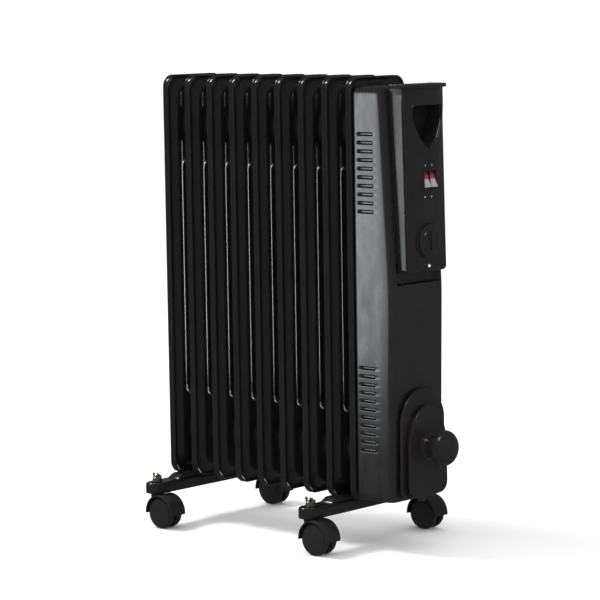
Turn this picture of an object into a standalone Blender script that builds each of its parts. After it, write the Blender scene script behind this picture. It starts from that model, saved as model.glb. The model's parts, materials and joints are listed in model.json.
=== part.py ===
"""Oil filled radiator heater: nine pressed steel fins on two headers, a louvred end cover with the
controls and carry handle, a cord winder, and two foot beams on four twin-wheel casters.

Metres, +Z up. The fins are stacked along X, the controls are at +X, and Z = 0 is the floor.
"""

import math

import bmesh
import bpy
from mathutils import Matrix, Vector

# Driving dimensions
FIN_COUNT = 9
FIN_PITCH = 0.040
FIN_HALF_DEPTH = 0.052
FIN_BOTTOM = 0.060
FIN_TOP = 0.591
FIN_CORNER = 0.016
RIM_HALF = 0.0038
CHANNEL_HALF = 0.0095
CHANNEL_CHAMFER = 0.005
CHANNEL_INSET = 0.013
RECESS_HALF_WIDTH = 0.019
RECESS_BOTTOM = 0.173
RECESS_TOP = 0.473
RECESS_HALF_THICKNESS = 0.003
HUB_RADIUS = 0.021
HUB_LOW = 0.121
HUB_HIGH = 0.525
END_HUB = 0.011
BORE_RADIUS = 0.010
SENSOR_HEIGHT = 0.155
FLANGE_RADIUS = 0.019
GAP = 0.0003

COVER_BACK = 0.1675
COVER_HALF_WIDTH = 0.050
COVER_CORNER = 0.0086
COVER_WALL = 0.0015
COVER_PROFILE = ((0.064, 0.224), (0.330, 0.228), (0.392, 0.2245), (0.528, 0.2165), (0.580, 0.2135))
SLOT_LENGTH = 0.026
SLOT_HEIGHT = 0.0036
SLOT_MIDDLE = 0.1855
UPPER_SLOTS = (0.4255, 10, 0.01065)
LOWER_SLOTS = (0.1275, 11, 0.0103)

PANEL_BOTTOM = 0.350
PANEL_TOP = 0.577
PANEL_HALF_WIDTH = 0.038
PANEL_EDGE = 0.238
PANEL_BULGE = 0.0115
PANEL_FOOT_EDGE = 0.2435
PANEL_FOOT_BULGE = 0.001
PANEL_WALL = 0.0025
PANEL_CORNER = 0.005
CAP_TOP = 0.582
GRIP_BOTTOM = 0.557
GRIP_HALF_WIDTH = 0.029
GRIP_SIDE_BOTTOM = 0.538
GRIP_TIP = 0.501
POCKET_BACK = 0.198
POCKET_WALL = 0.002
HOUSING_BACK = 0.205
SWITCH_HEIGHT = 0.465
SWITCH_HALF = 0.0129
ROCKER_SPACING = 0.0061
ROCKER_HALF_WIDTH = 0.0048
KNOB_HEIGHT = 0.389
KNOB_RADIUS = 0.0212
SHAFT_RADIUS = 0.003
LAMP_HEIGHT = 0.358
LAMP_RADIUS = 0.0019

BEAM_X = 0.136
BEAM_BOTTOM = 0.0455
BEAM_TOP = 0.0595
BEAM_HALF_WIDTH = 0.0135
BEAM_HALF_LENGTH = 0.121
BEAM_WALL = 0.002
SADDLE_TOP = 0.065
SADDLE_HALF_WIDTH = 0.0105
SADDLE_HALF_LENGTH = 0.066
SADDLE_SLOPE = 0.012
CASTER_Y = 0.105
CASTER_TRAIL = 0.014
WHEEL_RADIUS = 0.0205
WHEEL_WIDTH = 0.0118
WHEEL_INNER = 0.0030
WHEEL_SIDES = 20
HOOD_RADIUS = 0.0242
HOOD_HALF_WIDTH = 0.0148
STEM_RADIUS = 0.004
STEM_BOTTOM = 0.0376
COLLAR_RADIUS = 0.0066
COLLAR_BOTTOM = 0.048
AXLE_RADIUS = 0.0018
BOSS_RADIUS = 0.0078

WINDER_FACE = 0.2288
WINDER_PLATE_FACE = 0.2412
WINDER_BASE_HALF = 0.0425
WINDER_LOW = 0.068
WINDER_HIGH = 0.2045
WINDER_DRUM_HALF = 0.030
WINDER_PLATE_HALF = 0.037
WINDER_NECK_RADIUS = 0.013
WINDER_MIDDLE = 0.132

# The finished object's middle along X lies this far from the middle fin.
MIDDLE_X = 0.0548
GLAND_X = 0.205 - MIDDLE_X
GLAND_Y = 0.028
U_BOLT_RADIUS = 0.0025
U_BOLT_Y = HUB_RADIUS + U_BOLT_RADIUS + 0.0005


def clear_scene():
    for item in list(bpy.data.objects):
        bpy.data.objects.remove(item, do_unlink=True)


def make_collection(name):
    collection = bpy.data.collections.new(name)
    bpy.context.scene.collection.children.link(collection)
    return collection


def make_material(name, color, roughness, metallic=0.0):
    material = bpy.data.materials.new(name)
    material.use_nodes = True
    shader = material.node_tree.nodes["Principled BSDF"]
    shader.inputs["Base Color"].default_value = (*color, 1.0)
    shader.inputs["Roughness"].default_value = roughness
    shader.inputs["Metallic"].default_value = metallic
    return material


clear_scene()
PARTS = make_collection("oil_filled_radiator")
CUTTERS = make_collection("cutters")
BLACK_ENAMEL = make_material("black_enamel", (0.012, 0.012, 0.013), 0.22)
SATIN_STEEL = make_material("satin_black_steel", (0.02, 0.02, 0.022), 0.35)
BLACK_PLASTIC = make_material("black_plastic", (0.015, 0.015, 0.016), 0.3)
MATT_PLASTIC = make_material("matt_black_plastic", (0.02, 0.02, 0.02), 0.5)
ZINC = make_material("zinc_plated_steel", (0.62, 0.6, 0.56), 0.35, 1.0)
STEEL = make_material("plain_steel", (0.55, 0.55, 0.55), 0.4, 1.0)
COPPER = make_material("heater_sheath", (0.6, 0.35, 0.22), 0.35, 1.0)
RED_PLASTIC = make_material("red_rocker", (0.5, 0.02, 0.03), 0.2)
WHITE_PLASTIC = make_material("white_lens", (0.85, 0.85, 0.82), 0.25)
RUBBER = make_material("rubber", (0.02, 0.02, 0.02), 0.7)
CERAMIC = make_material("ceramic", (0.8, 0.78, 0.72), 0.5)


def add_object(name, data, material, place=None, collection=PARTS):
    made = bpy.data.objects.new(name, data)
    collection.objects.link(made)
    if place is not None:
        made.matrix_world = place
    if material is not None:
        made.data.materials.append(material)
    if collection is CUTTERS:
        made.hide_render = True
        made.display_type = "WIRE"
    return made


def mesh_from(bm, name):
    mesh = bpy.data.meshes.new(name)
    bm.normal_update()
    bm.to_mesh(mesh)
    bm.free()
    return mesh


def box_mesh(name, low, high):
    """A box between two corners, with its own origin at the object's."""
    bm = bmesh.new()
    bmesh.ops.create_cube(bm, size=1.0)
    size = Vector(high) - Vector(low)
    bmesh.ops.scale(bm, vec=size, verts=bm.verts)
    bmesh.ops.translate(bm, vec=(Vector(low) + Vector(high)) / 2, verts=bm.verts)
    return mesh_from(bm, name)


def rod_mesh(name, start, end, radius, sides=16, end_radius=None):
    """A cylinder or cone between two points."""
    bm = bmesh.new()
    run = Vector(end) - Vector(start)
    far = radius if end_radius is None else end_radius
    bmesh.ops.create_cone(
        bm, cap_ends=True, segments=sides, radius1=radius, radius2=far, depth=run.length
    )
    turn = Vector((0, 0, 1)).rotation_difference(run).to_matrix().to_4x4()
    bmesh.ops.transform(
        bm,
        matrix=Matrix.Translation((Vector(start) + Vector(end)) / 2) @ turn,
        verts=bm.verts,
    )
    return mesh_from(bm, name)


def arc(centre, radius, start, end, steps):
    """Points on a circle from one angle to another, in degrees."""
    points = []
    for step in range(steps + 1):
        angle = math.radians(start + (end - start) * step / steps)
        points.append((centre[0] + radius * math.cos(angle), centre[1] + radius * math.sin(angle)))
    return points


def rounded_rectangle(low, high, radius, steps=2):
    left, bottom = low
    right, top = high
    points = arc((right - radius, top - radius), radius, 0, 90, steps)
    points += arc((left + radius, top - radius), radius, 90, 180, steps)
    points += arc((left + radius, bottom + radius), radius, 180, 270, steps)
    points += arc((right - radius, bottom + radius), radius, 270, 360, steps)
    return points


def outline_mesh(name, points, half_thickness, chamfer=0.0):
    """A flat outline in local XY, extruded both ways along local Z, as a welded mesh."""
    curve = bpy.data.curves.new(name, "CURVE")
    curve.dimensions = "2D"
    curve.fill_mode = "BOTH"
    curve.extrude = half_thickness - chamfer
    curve.bevel_depth = chamfer
    curve.bevel_resolution = 0
    curve.offset = -chamfer
    spline = curve.splines.new("POLY")
    spline.points.add(len(points) - 1)
    for point, (across, along) in zip(spline.points, points):
        point.co = (across, along, 0.0, 1.0)
    spline.use_cyclic_u = True
    holder = bpy.data.objects.new(name, curve)
    bpy.context.scene.collection.objects.link(holder)
    graph = bpy.context.evaluated_depsgraph_get()
    mesh = bpy.data.meshes.new_from_object(holder.evaluated_get(graph))
    bpy.data.objects.remove(holder)
    bm = bmesh.new()
    bm.from_mesh(mesh)
    bmesh.ops.remove_doubles(bm, verts=bm.verts, dist=1e-6)
    bmesh.ops.recalc_face_normals(bm, faces=bm.faces)
    bm.to_mesh(mesh)
    bm.free()
    mesh.name = name
    return mesh


# Local XY outline axes turned into the object's YZ, XZ or XY plane.
TO_YZ = Matrix(((0, 0, 1, 0), (1, 0, 0, 0), (0, 1, 0, 0), (0, 0, 0, 1)))
TO_XZ = Matrix(((1, 0, 0, 0), (0, 0, -1, 0), (0, 1, 0, 0), (0, 0, 0, 1)))


def placed(mesh, matrix):
    mesh.transform(matrix)
    return mesh


def cut(target, mesh, name, operation="DIFFERENCE"):
    """A Boolean on the object, by a helper in the cutters collection."""
    helper = add_object(name, mesh, None, collection=CUTTERS)
    modifier = target.modifiers.new(name, "BOOLEAN")
    modifier.operation = operation
    modifier.solver = "EXACT"
    modifier.object = helper
    return helper


def bake(target):
    """Applies the modifiers, so that the mesh can be shared."""
    graph = bpy.context.evaluated_depsgraph_get()
    graph.update()
    mesh = bpy.data.meshes.new_from_object(target.evaluated_get(graph))
    helpers = [modifier.object for modifier in target.modifiers if modifier.type == "BOOLEAN"]
    material = target.data.materials[0]
    target.modifiers.clear()
    target.data = mesh
    mesh.materials.clear()
    mesh.materials.append(material)
    for helper in helpers:
        bpy.data.objects.remove(helper)
    return mesh


def smooth(target, degrees=35):
    target.data.shade_smooth()
    target.data.set_sharp_from_angle(angle=math.radians(degrees))


def fin_x(index):
    """The X of a fin's own plane, counted from 1."""
    return (index - (FIN_COUNT + 1) / 2) * FIN_PITCH - MIDDLE_X


def profile_mesh(name, profile, closed=False):
    """A profile of (radius, height) from top to bottom, for a Screw modifier to turn."""
    bm = bmesh.new()
    points = [bm.verts.new((radius, 0.0, height)) for radius, height in profile]
    ends = points[1:] + points[:1] if closed else points[1:]
    for first, second in zip(points, ends):
        bm.edges.new((first, second))
    return mesh_from(bm, name)


def turn(made, sides):
    screw = made.modifiers.new("turn", "SCREW")
    screw.angle = 2 * math.pi
    screw.steps = sides
    screw.render_steps = sides
    screw.use_merge_vertices = True
    screw.merge_threshold = 1e-6
    screw.use_smooth_shade = True
    return made


def turned(name, profile, material, place, sides=20, collection=PARTS):
    """A turned piece about its own Z."""
    return turn(add_object(name, profile_mesh(name, profile), material, place, collection), sides)


def join(target, helper):
    """A union with a turned piece or another helper that keeps its own place."""
    modifier = target.modifiers.new(helper.name, "BOOLEAN")
    modifier.operation = "UNION"
    modifier.solver = "EXACT"
    modifier.object = helper


# ---------------------------------------------------------------- fins and headers


def make_fin_mesh(name, hub_back, hub_front):
    """A pressed fin: flat rim, raised oil channel round a recess, and two header hubs."""
    rim = rounded_rectangle(
        (-FIN_HALF_DEPTH, FIN_BOTTOM), (FIN_HALF_DEPTH, FIN_TOP), FIN_CORNER, 3
    )
    fin = add_object(name, placed(outline_mesh(name, rim, RIM_HALF), TO_YZ), BLACK_ENAMEL)
    reach = FIN_HALF_DEPTH - CHANNEL_INSET
    channel = rounded_rectangle(
        (-reach, FIN_BOTTOM + CHANNEL_INSET), (reach, FIN_TOP - CHANNEL_INSET), 0.022
    )
    pad = outline_mesh("channel", channel, CHANNEL_HALF, CHANNEL_CHAMFER)
    cut(fin, placed(pad, TO_YZ), "channel", "UNION")
    for label, height in (("low", HUB_LOW), ("high", HUB_HIGH)):
        hub = rod_mesh("hub", (-hub_back, 0, height), (hub_front, 0, height), HUB_RADIUS, 14)
        cut(fin, hub, f"hub_{label}", "UNION")
    slot = rounded_rectangle(
        (-RECESS_HALF_WIDTH, RECESS_BOTTOM), (RECESS_HALF_WIDTH, RECESS_TOP), RECESS_HALF_WIDTH * 0.98
    )
    depth = CHANNEL_HALF
    for label, side in (("front", 1), ("back", -1)):
        recess = placed(outline_mesh("recess", slot, depth), TO_YZ)
        recess.transform(Matrix.Translation((side * (RECESS_HALF_THICKNESS + depth), 0, 0)))
        cut(fin, recess, f"recess_{label}")
    bore = rod_mesh("bore", (-FIN_PITCH, 0, HUB_LOW), (FIN_PITCH, 0, HUB_LOW), BORE_RADIUS, 8)
    cut(fin, bore, "bore")
    mesh = bake(fin)
    bpy.data.objects.remove(fin)
    return mesh


def make_fins():
    half = FIN_PITCH / 2 - GAP / 2
    inner = make_fin_mesh("fin_inner", half, half)
    meshes = {1: make_fin_mesh("fin_first", END_HUB, half)}
    meshes[FIN_COUNT] = make_fin_mesh("fin_last", half, END_HUB)
    for index in range(1, FIN_COUNT + 1):
        place = Matrix.Translation((fin_x(index), 0, 0))
        fin = add_object(f"fin_{index}", meshes.get(index, inner), None, place)
        smooth(fin, 25)


def make_heating_element():
    """The immersed sheath in the lower header, with its flange and terminals on the last hub."""
    hub_face = fin_x(FIN_COUNT) + END_HUB
    gasket_end = hub_face + 0.0025

    def along(start, end, radius, sides):
        return rod_mesh("rod", (start, 0, HUB_LOW), (end, 0, HUB_LOW), radius, sides)

    gasket = add_object("element_gasket", along(hub_face + GAP, gasket_end, FLANGE_RADIUS, 20), RUBBER)
    cut(gasket, along(hub_face - 0.01, gasket_end + 0.01, BORE_RADIUS - 0.0002, 12), "gasket_bore")
    flange_start = gasket_end + GAP
    flange = along(flange_start, flange_start + 0.006, FLANGE_RADIUS, 6)
    element = add_object("heating_element", flange, COPPER)
    cut(element, along(fin_x(1) + 0.02, flange_start + 0.001, 0.006, 12), "sheath", "UNION")
    cut(element, along(flange_start + 0.005, flange_start + 0.016, 0.004, 10), "terminal", "UNION")


def make_header_fittings():
    """The oil filler plug in the upper hub, and the cut-out that senses the last fin's heat."""
    hub_face = fin_x(FIN_COUNT) + END_HUB + GAP
    plug_mesh = rod_mesh("plug", (hub_face, 0, HUB_HIGH), (hub_face + 0.006, 0, HUB_HIGH), 0.009, 6)
    smooth(add_object("oil_filler_plug", plug_mesh, ZINC), 20)
    face = fin_x(FIN_COUNT) + CHANNEL_HALF + GAP
    cutout = rod_mesh("cutout", (face, 0, SENSOR_HEIGHT), (face + 0.009, 0, SENSOR_HEIGHT), 0.0085, 14)
    add_object("thermal_cutout", cutout, CERAMIC)


# ---------------------------------------------------------------- end cover


def cover_outline(margin, back):
    """The cover's side view in XZ, grown outward by margin."""
    front = [(x - MIDDLE_X + margin, z) for z, x in COVER_PROFILE]
    bottom = COVER_PROFILE[0][0] - margin
    top = COVER_PROFILE[-1][0] + margin
    points = [(back, bottom), (front[0][0], bottom)]
    points += front[1:-1]
    points += [(front[-1][0], top), (back, top)]
    return points


def cover_solid(name, margin, back, half_width):
    mesh = outline_mesh(name, cover_outline(margin, back), half_width)
    return placed(mesh, TO_XZ)


def cover_plan(front, back, half_width, radius):
    """The cover's plan view at one height: square at the back, round at the front corners."""
    points = [(back, -half_width)]
    points += arc((front - radius, -half_width + radius), radius, -90, 0, 3)
    points += arc((front - radius, half_width - radius), radius, 0, 90, 3)
    points.append((back, half_width))
    return points


def cover_loft(name, margin, back, half_width, radius):
    """Plan views at each height of the profile, joined one above the other."""
    bm = bmesh.new()
    rings = []
    last = len(COVER_PROFILE) - 1
    for index, (height, front) in enumerate(COVER_PROFILE):
        level = height - margin if index == 0 else height + margin if index == last else height
        plan = cover_plan(front - MIDDLE_X + margin, back, half_width, radius)
        rings.append([bm.verts.new((x, y, level)) for x, y in plan])
    count = len(rings[0])
    for lower, upper in zip(rings, rings[1:]):
        for index in range(count):
            after = (index + 1) % count
            bm.faces.new((lower[index], lower[after], upper[after], upper[index]))
    bm.faces.new(reversed(rings[0]))
    bm.faces.new(rings[-1])
    bmesh.ops.triangulate(bm, faces=bm.faces)
    return mesh_from(bm, name)


def make_end_cover():
    back = COVER_BACK - MIDDLE_X
    outer = cover_loft("end_cover", 0, back, COVER_HALF_WIDTH, COVER_CORNER)
    cover = add_object("end_cover", outer, SATIN_STEEL)
    half_inside = COVER_HALF_WIDTH - COVER_WALL
    hollow = cover_loft("hollow", -COVER_WALL, back - 0.02, half_inside, COVER_CORNER - COVER_WALL)
    cut(cover, hollow, "cover_hollow")
    middle = SLOT_MIDDLE - MIDDLE_X
    for side in (-1, 1):
        slots = bmesh.new()
        for start, count, pitch in (UPPER_SLOTS, LOWER_SLOTS):
            for index in range(count):
                made = bmesh.ops.create_cube(slots, size=1.0)["verts"]
                size = (SLOT_LENGTH, 0.02, SLOT_HEIGHT)
                place = (middle, side * COVER_HALF_WIDTH, start + index * pitch)
                bmesh.ops.scale(slots, vec=size, verts=made)
                bmesh.ops.translate(slots, vec=place, verts=made)
        cut(cover, mesh_from(slots, "louvres"), f"louvres_{side + 1}")
    gland_hole = rod_mesh(
        "gland_hole", (GLAND_X, GLAND_Y, 0.04), (GLAND_X, GLAND_Y, 0.08), 0.0055, 14
    )
    cut(cover, gland_hole, "gland_hole")
    window_half = PANEL_HALF_WIDTH - 0.005
    window_top = PANEL_TOP - 0.011
    window = box_mesh("window", (middle, -window_half, PANEL_BOTTOM + 0.008), (0.3, window_half, window_top))
    cut(cover, window, "control_window")


def make_heat_shield():
    """A bright plate between the last fin and the electrical parts."""
    back = fin_x(FIN_COUNT) + CHANNEL_HALF + 2 * GAP
    half = COVER_HALF_WIDTH - COVER_WALL - 0.0007
    low, high = COVER_PROFILE[0][0] + 0.004, COVER_PROFILE[-1][0] - 0.004
    plate = box_mesh("heat_shield", (back, -half, low), (back + 0.001, half, high))
    shield = add_object("heat_shield", plate, STEEL)
    holes = (("low", HUB_LOW, 0.024), ("high", HUB_HIGH, 0.024), ("sensor", SENSOR_HEIGHT, 0.0095))
    for label, height, radius in holes:
        hole = rod_mesh("hole", (back - 0.02, 0, height), (back + 0.02, 0, height), radius, 16)
        cut(shield, hole, f"shield_hole_{label}")


# ---------------------------------------------------------------- control panel and handle


def panel_front(height, across=0.0):
    """The X of the panel's face: bowed at the top, and further out but nearly flat at the foot."""
    share = (height - PANEL_BOTTOM) / (PANEL_TOP - PANEL_BOTTOM)
    edge = PANEL_FOOT_EDGE + (PANEL_EDGE - PANEL_FOOT_EDGE) * share
    bulge = PANEL_FOOT_BULGE + (PANEL_BULGE - PANEL_FOOT_BULGE) * share
    return edge - MIDDLE_X + bulge * (1 - (across / PANEL_HALF_WIDTH) ** 2)


def panel_outline(inset, back):
    """The panel's plan view at its top: straight sides and a bowed front."""
    half = PANEL_HALF_WIDTH - inset
    edge = PANEL_EDGE - MIDDLE_X - inset
    points = [(back, -half), (edge - PANEL_CORNER, -half)]
    steps = 8
    for step in range(steps + 1):
        across = -half + 0.0015 + (2 * half - 0.003) * step / steps
        points.append((edge + PANEL_BULGE * (1 - (across / PANEL_HALF_WIDTH) ** 2), across))
    points += [(edge - PANEL_CORNER, half), (back, half)]
    return points


def panel_solid(name, inset, back):
    """The panel's plan taken down to the foot, where the face has the foot's shape."""
    middle = (PANEL_TOP + PANEL_BOTTOM) / 2
    half_height = (PANEL_TOP - PANEL_BOTTOM) / 2 - inset
    lift = Matrix.Translation((0, 0, middle))
    solid = placed(outline_mesh(name, panel_outline(inset, back), half_height), lift)
    for vertex in solid.vertices:
        if vertex.co.z < middle and vertex.co.x > back + GAP:
            across = vertex.co.y
            vertex.co.x += panel_front(PANEL_BOTTOM, across) - panel_front(PANEL_TOP, across)
    return solid


def grip_outline(inset):
    """The shield-shaped carry-handle opening, in YZ."""
    half = GRIP_HALF_WIDTH - inset
    top = GRIP_BOTTOM - inset
    tip = GRIP_TIP + inset
    bow = 0.010
    points = [(half, top - 0.003), (half - 0.003, top), (-half + 0.003, top), (-half, top - 0.003)]
    points += [(-half, GRIP_SIDE_BOTTOM), (-half + bow, GRIP_SIDE_BOTTOM - 0.023), (-0.004, tip)]
    points += [(0.004, tip), (half - bow, GRIP_SIDE_BOTTOM - 0.023), (half, GRIP_SIDE_BOTTOM)]
    return points


def make_control_housing():
    back = HOUSING_BACK - MIDDLE_X
    housing = add_object("control_housing", panel_solid("control_housing", 0, back), BLACK_PLASTIC)
    cut(housing, panel_solid("housing_hollow", PANEL_WALL, back - 0.02), "housing_hollow")
    cut(housing, cover_solid("cover_seat", GAP * 1.5, 0, 0.09), "cover_seat")
    grip = placed(outline_mesh("grip_opening", grip_outline(0), 0.06), TO_YZ)
    grip.transform(Matrix.Translation((PANEL_EDGE - MIDDLE_X, 0, 0)))
    cut(housing, grip, "grip_opening")
    front = panel_front(SWITCH_HEIGHT)
    window = SWITCH_HALF + GAP
    switch = box_mesh(
        "switch",
        (front - 0.03, -window, SWITCH_HEIGHT - window),
        (front + 0.02, window, SWITCH_HEIGHT + window),
    )
    cut(housing, switch, "switch_hole")
    holes = (
        ("shaft_hole", KNOB_HEIGHT, SHAFT_RADIUS + 0.002),
        ("lamp_hole", LAMP_HEIGHT, LAMP_RADIUS + GAP),
    )
    for label, height, radius in holes:
        hole = rod_mesh(label, (front - 0.03, 0, height), (front + 0.02, 0, height), radius, 12)
        cut(housing, hole, label)


def make_handle_cap():
    """The lip that closes the housing's top and makes the handle's upper edge."""
    low = PANEL_TOP + GAP
    overhang = 0.003
    back = HOUSING_BACK + 0.0115 - MIDDLE_X
    points = []
    for x, y in panel_outline(0, back):
        points.append((x + (overhang if x > back else 0), y * 1.075))
    cap_mesh = outline_mesh("handle_cap", points, (CAP_TOP - low) / 2)
    lift = Matrix.Translation((0, 0, (low + CAP_TOP) / 2))
    cap = add_object("handle_cap", placed(cap_mesh, lift), BLACK_PLASTIC)
    cut(cap, cover_solid("cap_seat", GAP * 1.5, 0, 0.09), "cap_seat")


def make_handle_pocket():
    """The cup behind the grip that fingers reach into."""
    start = POCKET_BACK - MIDDLE_X
    end = panel_front(GRIP_BOTTOM, GRIP_HALF_WIDTH) - 0.0005
    half = (end - start) / 2
    outer = placed(outline_mesh("handle_pocket", grip_outline(GAP), half), TO_YZ)
    outer.transform(Matrix.Translation(((start + end) / 2, 0, 0)))
    pocket = add_object("handle_pocket", outer, BLACK_PLASTIC)
    inner = placed(outline_mesh("pocket_hollow", grip_outline(GAP + POCKET_WALL), half), TO_YZ)
    inner.transform(Matrix.Translation(((start + end) / 2 + POCKET_WALL, 0, 0)))
    cut(pocket, inner, "pocket_hollow")


def make_switches():
    """A bezel with two rockers; each tilts about a pin across it."""
    front = panel_front(SWITCH_HEIGHT)
    outer = box_mesh(
        "switch_frame",
        (front - 0.022, -SWITCH_HALF, SWITCH_HEIGHT - SWITCH_HALF),
        (front + 0.0012, SWITCH_HALF, SWITCH_HEIGHT + SWITCH_HALF),
    )
    frame = add_object("switch_frame", outer, MATT_PLASTIC)
    opening_half = ROCKER_HALF_WIDTH + 0.0004
    opening_reach = 0.0113
    profile = [(-0.0066, -0.0006), (-0.0066, 0.0006), (-0.0010, 0.0098), (0.0003, 0.0098)]
    profile += [(0.0022, 0.0), (0.0072, -0.0086), (0.0060, -0.0098), (0.0005, -0.0098)]
    for number, side in ((1, -1), (2, 1)):
        across = side * ROCKER_SPACING
        hole = box_mesh(
            "rocker_hole",
            (front - 0.011, across - opening_half, SWITCH_HEIGHT - opening_reach),
            (front + 0.02, across + opening_half, SWITCH_HEIGHT + opening_reach),
        )
        cut(frame, hole, f"rocker_hole_{number}")
        rocker = outline_mesh("rocker", profile, ROCKER_HALF_WIDTH)
        pivot = Matrix.Translation((front - 0.003, across, SWITCH_HEIGHT))
        add_object(f"rocker_{number}", placed(rocker, TO_XZ), RED_PLASTIC, pivot)


def make_thermostat():
    """The thermostat behind the panel, its shaft, and the flat dial on the shaft."""
    front = panel_front(KNOB_HEIGHT + KNOB_RADIUS)
    half_width, half_height = 0.015, 0.016
    body_mesh = box_mesh(
        "thermostat",
        (front - 0.032, -half_width, KNOB_HEIGHT - half_height),
        (front - 0.0055, half_width, KNOB_HEIGHT + half_height),
    )
    body = add_object("thermostat", body_mesh, CERAMIC)
    shaft_end = front + 0.0034
    shaft = rod_mesh("shaft", (front - 0.006, 0, KNOB_HEIGHT), (shaft_end, 0, KNOB_HEIGHT), SHAFT_RADIUS, 12)
    cut(body, shaft, "shaft", "UNION")
    place = Matrix.Translation((front, 0, KNOB_HEIGHT)) @ TO_YZ
    under, bore_end, face = 0.0005, 0.0038, 0.0050
    bore = SHAFT_RADIUS + 0.0002
    profile = [(0.0, face), (0.0125, face), (0.0142, face - 0.0006), (0.0150, 0.0030)]
    profile += [(KNOB_RADIUS - 0.0014, 0.0026), (KNOB_RADIUS, 0.0014), (KNOB_RADIUS, under)]
    profile += [(bore, under), (bore, bore_end), (0.0, bore_end)]
    knob = turned("thermostat_knob", profile, BLACK_PLASTIC, place, 20)
    ridge = box_mesh("ridge", (-0.0022, -0.0118, face - 0.0006), (0.0022, 0.0118, face + 0.0016))
    join(knob, add_object("knob_ridge", ridge, None, place, CUTTERS))


def make_lamp():
    place = Matrix.Translation((panel_front(LAMP_HEIGHT), 0, LAMP_HEIGHT)) @ TO_YZ
    profile = [(0.0, 0.0016), (0.0010, 0.0014), (LAMP_RADIUS, 0.0006)]
    profile += [(LAMP_RADIUS, -0.009), (0.0, -0.009)]
    turned("indicator_lamp", profile, WHITE_PLASTIC, place, 12)


def make_wiring_parts():
    """The terminal block, and the mains cord's gland down through the cover's floor."""
    back = fin_x(FIN_COUNT) + CHANNEL_HALF + 0.0022
    block = box_mesh("terminal_block", (back, -0.022, 0.250), (back + 0.014, 0.022, 0.272))
    add_object("terminal_block", block, CERAMIC)
    place = Matrix.Translation((GLAND_X, GLAND_Y, COVER_PROFILE[0][0]))
    profile = [(0.0, 0.006), (0.0065, 0.006), (0.0065, 0.0018), (0.0052, 0.0018)]
    profile += [(0.0052, -GAP), (0.0075, -GAP), (0.006, -0.010), (0.0, -0.010)]
    turned("cord_gland", profile, RUBBER, place, 14)


# ---------------------------------------------------------------- cord winder


def arch_outline(half_width, low, high, shoulder, steps=8):
    """An arch: straight sides, an elliptical top, and small round lower corners."""
    points = arc((half_width - 0.010, low + 0.010), 0.010, -90, 0, 2)
    for step in range(steps + 1):
        angle = math.pi * step / steps
        points.append((half_width * math.cos(angle), shoulder + (high - shoulder) * math.sin(angle)))
    points += arc((-half_width + 0.010, low + 0.010), 0.010, 180, 270, 2)
    return points


def plate_mesh(name, outline, back, thickness):
    """An outline in YZ, from an X towards +X."""
    mesh = placed(outline_mesh(name, outline, thickness / 2), TO_YZ)
    mesh.transform(Matrix.Translation((back + thickness / 2, 0, 0)))
    return mesh


def make_cord_winder():
    """A back plate with a drum, and a front plate whose neck and domed knob hold the cord."""
    face = WINDER_FACE - MIDDLE_X
    base_outline = arch_outline(WINDER_BASE_HALF, WINDER_LOW, WINDER_HIGH, 0.160)
    base = add_object("cord_winder_base", plate_mesh("base", base_outline, face, 0.004), BLACK_PLASTIC)
    drum_outline = arch_outline(WINDER_DRUM_HALF, 0.078, 0.172, 0.140)
    cut(base, plate_mesh("drum", drum_outline, face + 0.0027, 0.006), "winder_drum", "UNION")
    front = WINDER_PLATE_FACE - MIDDLE_X
    thickness = 0.0032
    outline = arch_outline(WINDER_PLATE_HALF, 0.070, 0.184, 0.125)
    plate = plate_mesh("plate", outline, front - thickness, thickness)
    spool = add_object("cord_winder_spool", plate, BLACK_PLASTIC)
    start, end = (front - 0.001, 0, WINDER_MIDDLE), (front + 0.024, 0, WINDER_MIDDLE)
    cut(spool, rod_mesh("neck", start, end, WINDER_NECK_RADIUS, 16), "winder_neck", "UNION")
    dome = [(0.0, 0.0395), (0.009, 0.0382), (0.0165, 0.0345), (0.0212, 0.0285)]
    dome += [(0.0225, 0.0245), (0.0215, 0.0225), (0.0, 0.0225)]
    place = Matrix.Translation((front, 0, WINDER_MIDDLE)) @ TO_YZ
    join(spool, turned("winder_dome", dome, None, place, 20, CUTTERS))


# ---------------------------------------------------------------- feet and casters


def make_foot(name, x):
    """A pressed channel beam across the heater, open underneath, raised between the two fins."""
    middle = (BEAM_TOP + BEAM_BOTTOM) / 2
    half_height = (BEAM_TOP - BEAM_BOTTOM) / 2

    def beam(inset, corner, height):
        reach = BEAM_HALF_LENGTH - inset
        half = BEAM_HALF_WIDTH - inset
        outline = rounded_rectangle((-half, -reach), (half, reach), corner, 3)
        return placed(outline_mesh("beam", outline, half_height), Matrix.Translation((x, 0, height)))

    foot = add_object(name, beam(0, BEAM_HALF_WIDTH * 0.98, middle), BLACK_ENAMEL)
    foot_low = BEAM_TOP - BEAM_WALL / 2
    saddle = [(-SADDLE_HALF_LENGTH - SADDLE_SLOPE, foot_low), (SADDLE_HALF_LENGTH + SADDLE_SLOPE, foot_low)]
    saddle += [(SADDLE_HALF_LENGTH, SADDLE_TOP), (-SADDLE_HALF_LENGTH, SADDLE_TOP)]
    raised = plate_mesh("saddle", saddle, x - SADDLE_HALF_WIDTH, 2 * SADDLE_HALF_WIDTH)
    cut(foot, raised, f"{name}_saddle", "UNION")
    cut(foot, beam(BEAM_WALL, BEAM_HALF_WIDTH * 0.8, middle - BEAM_WALL), f"{name}_hollow")
    holes = (("stem", CASTER_Y, STEM_RADIUS + GAP), ("bolt", U_BOLT_Y, U_BOLT_RADIUS + GAP))
    for side in (-1, 1):
        for label, y, radius in holes:
            hole = rod_mesh("hole", (x, side * y, 0.03), (x, side * y, 0.08), radius, 12)
            cut(foot, hole, f"{name}_{label}_hole_{side + 1}")


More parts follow.
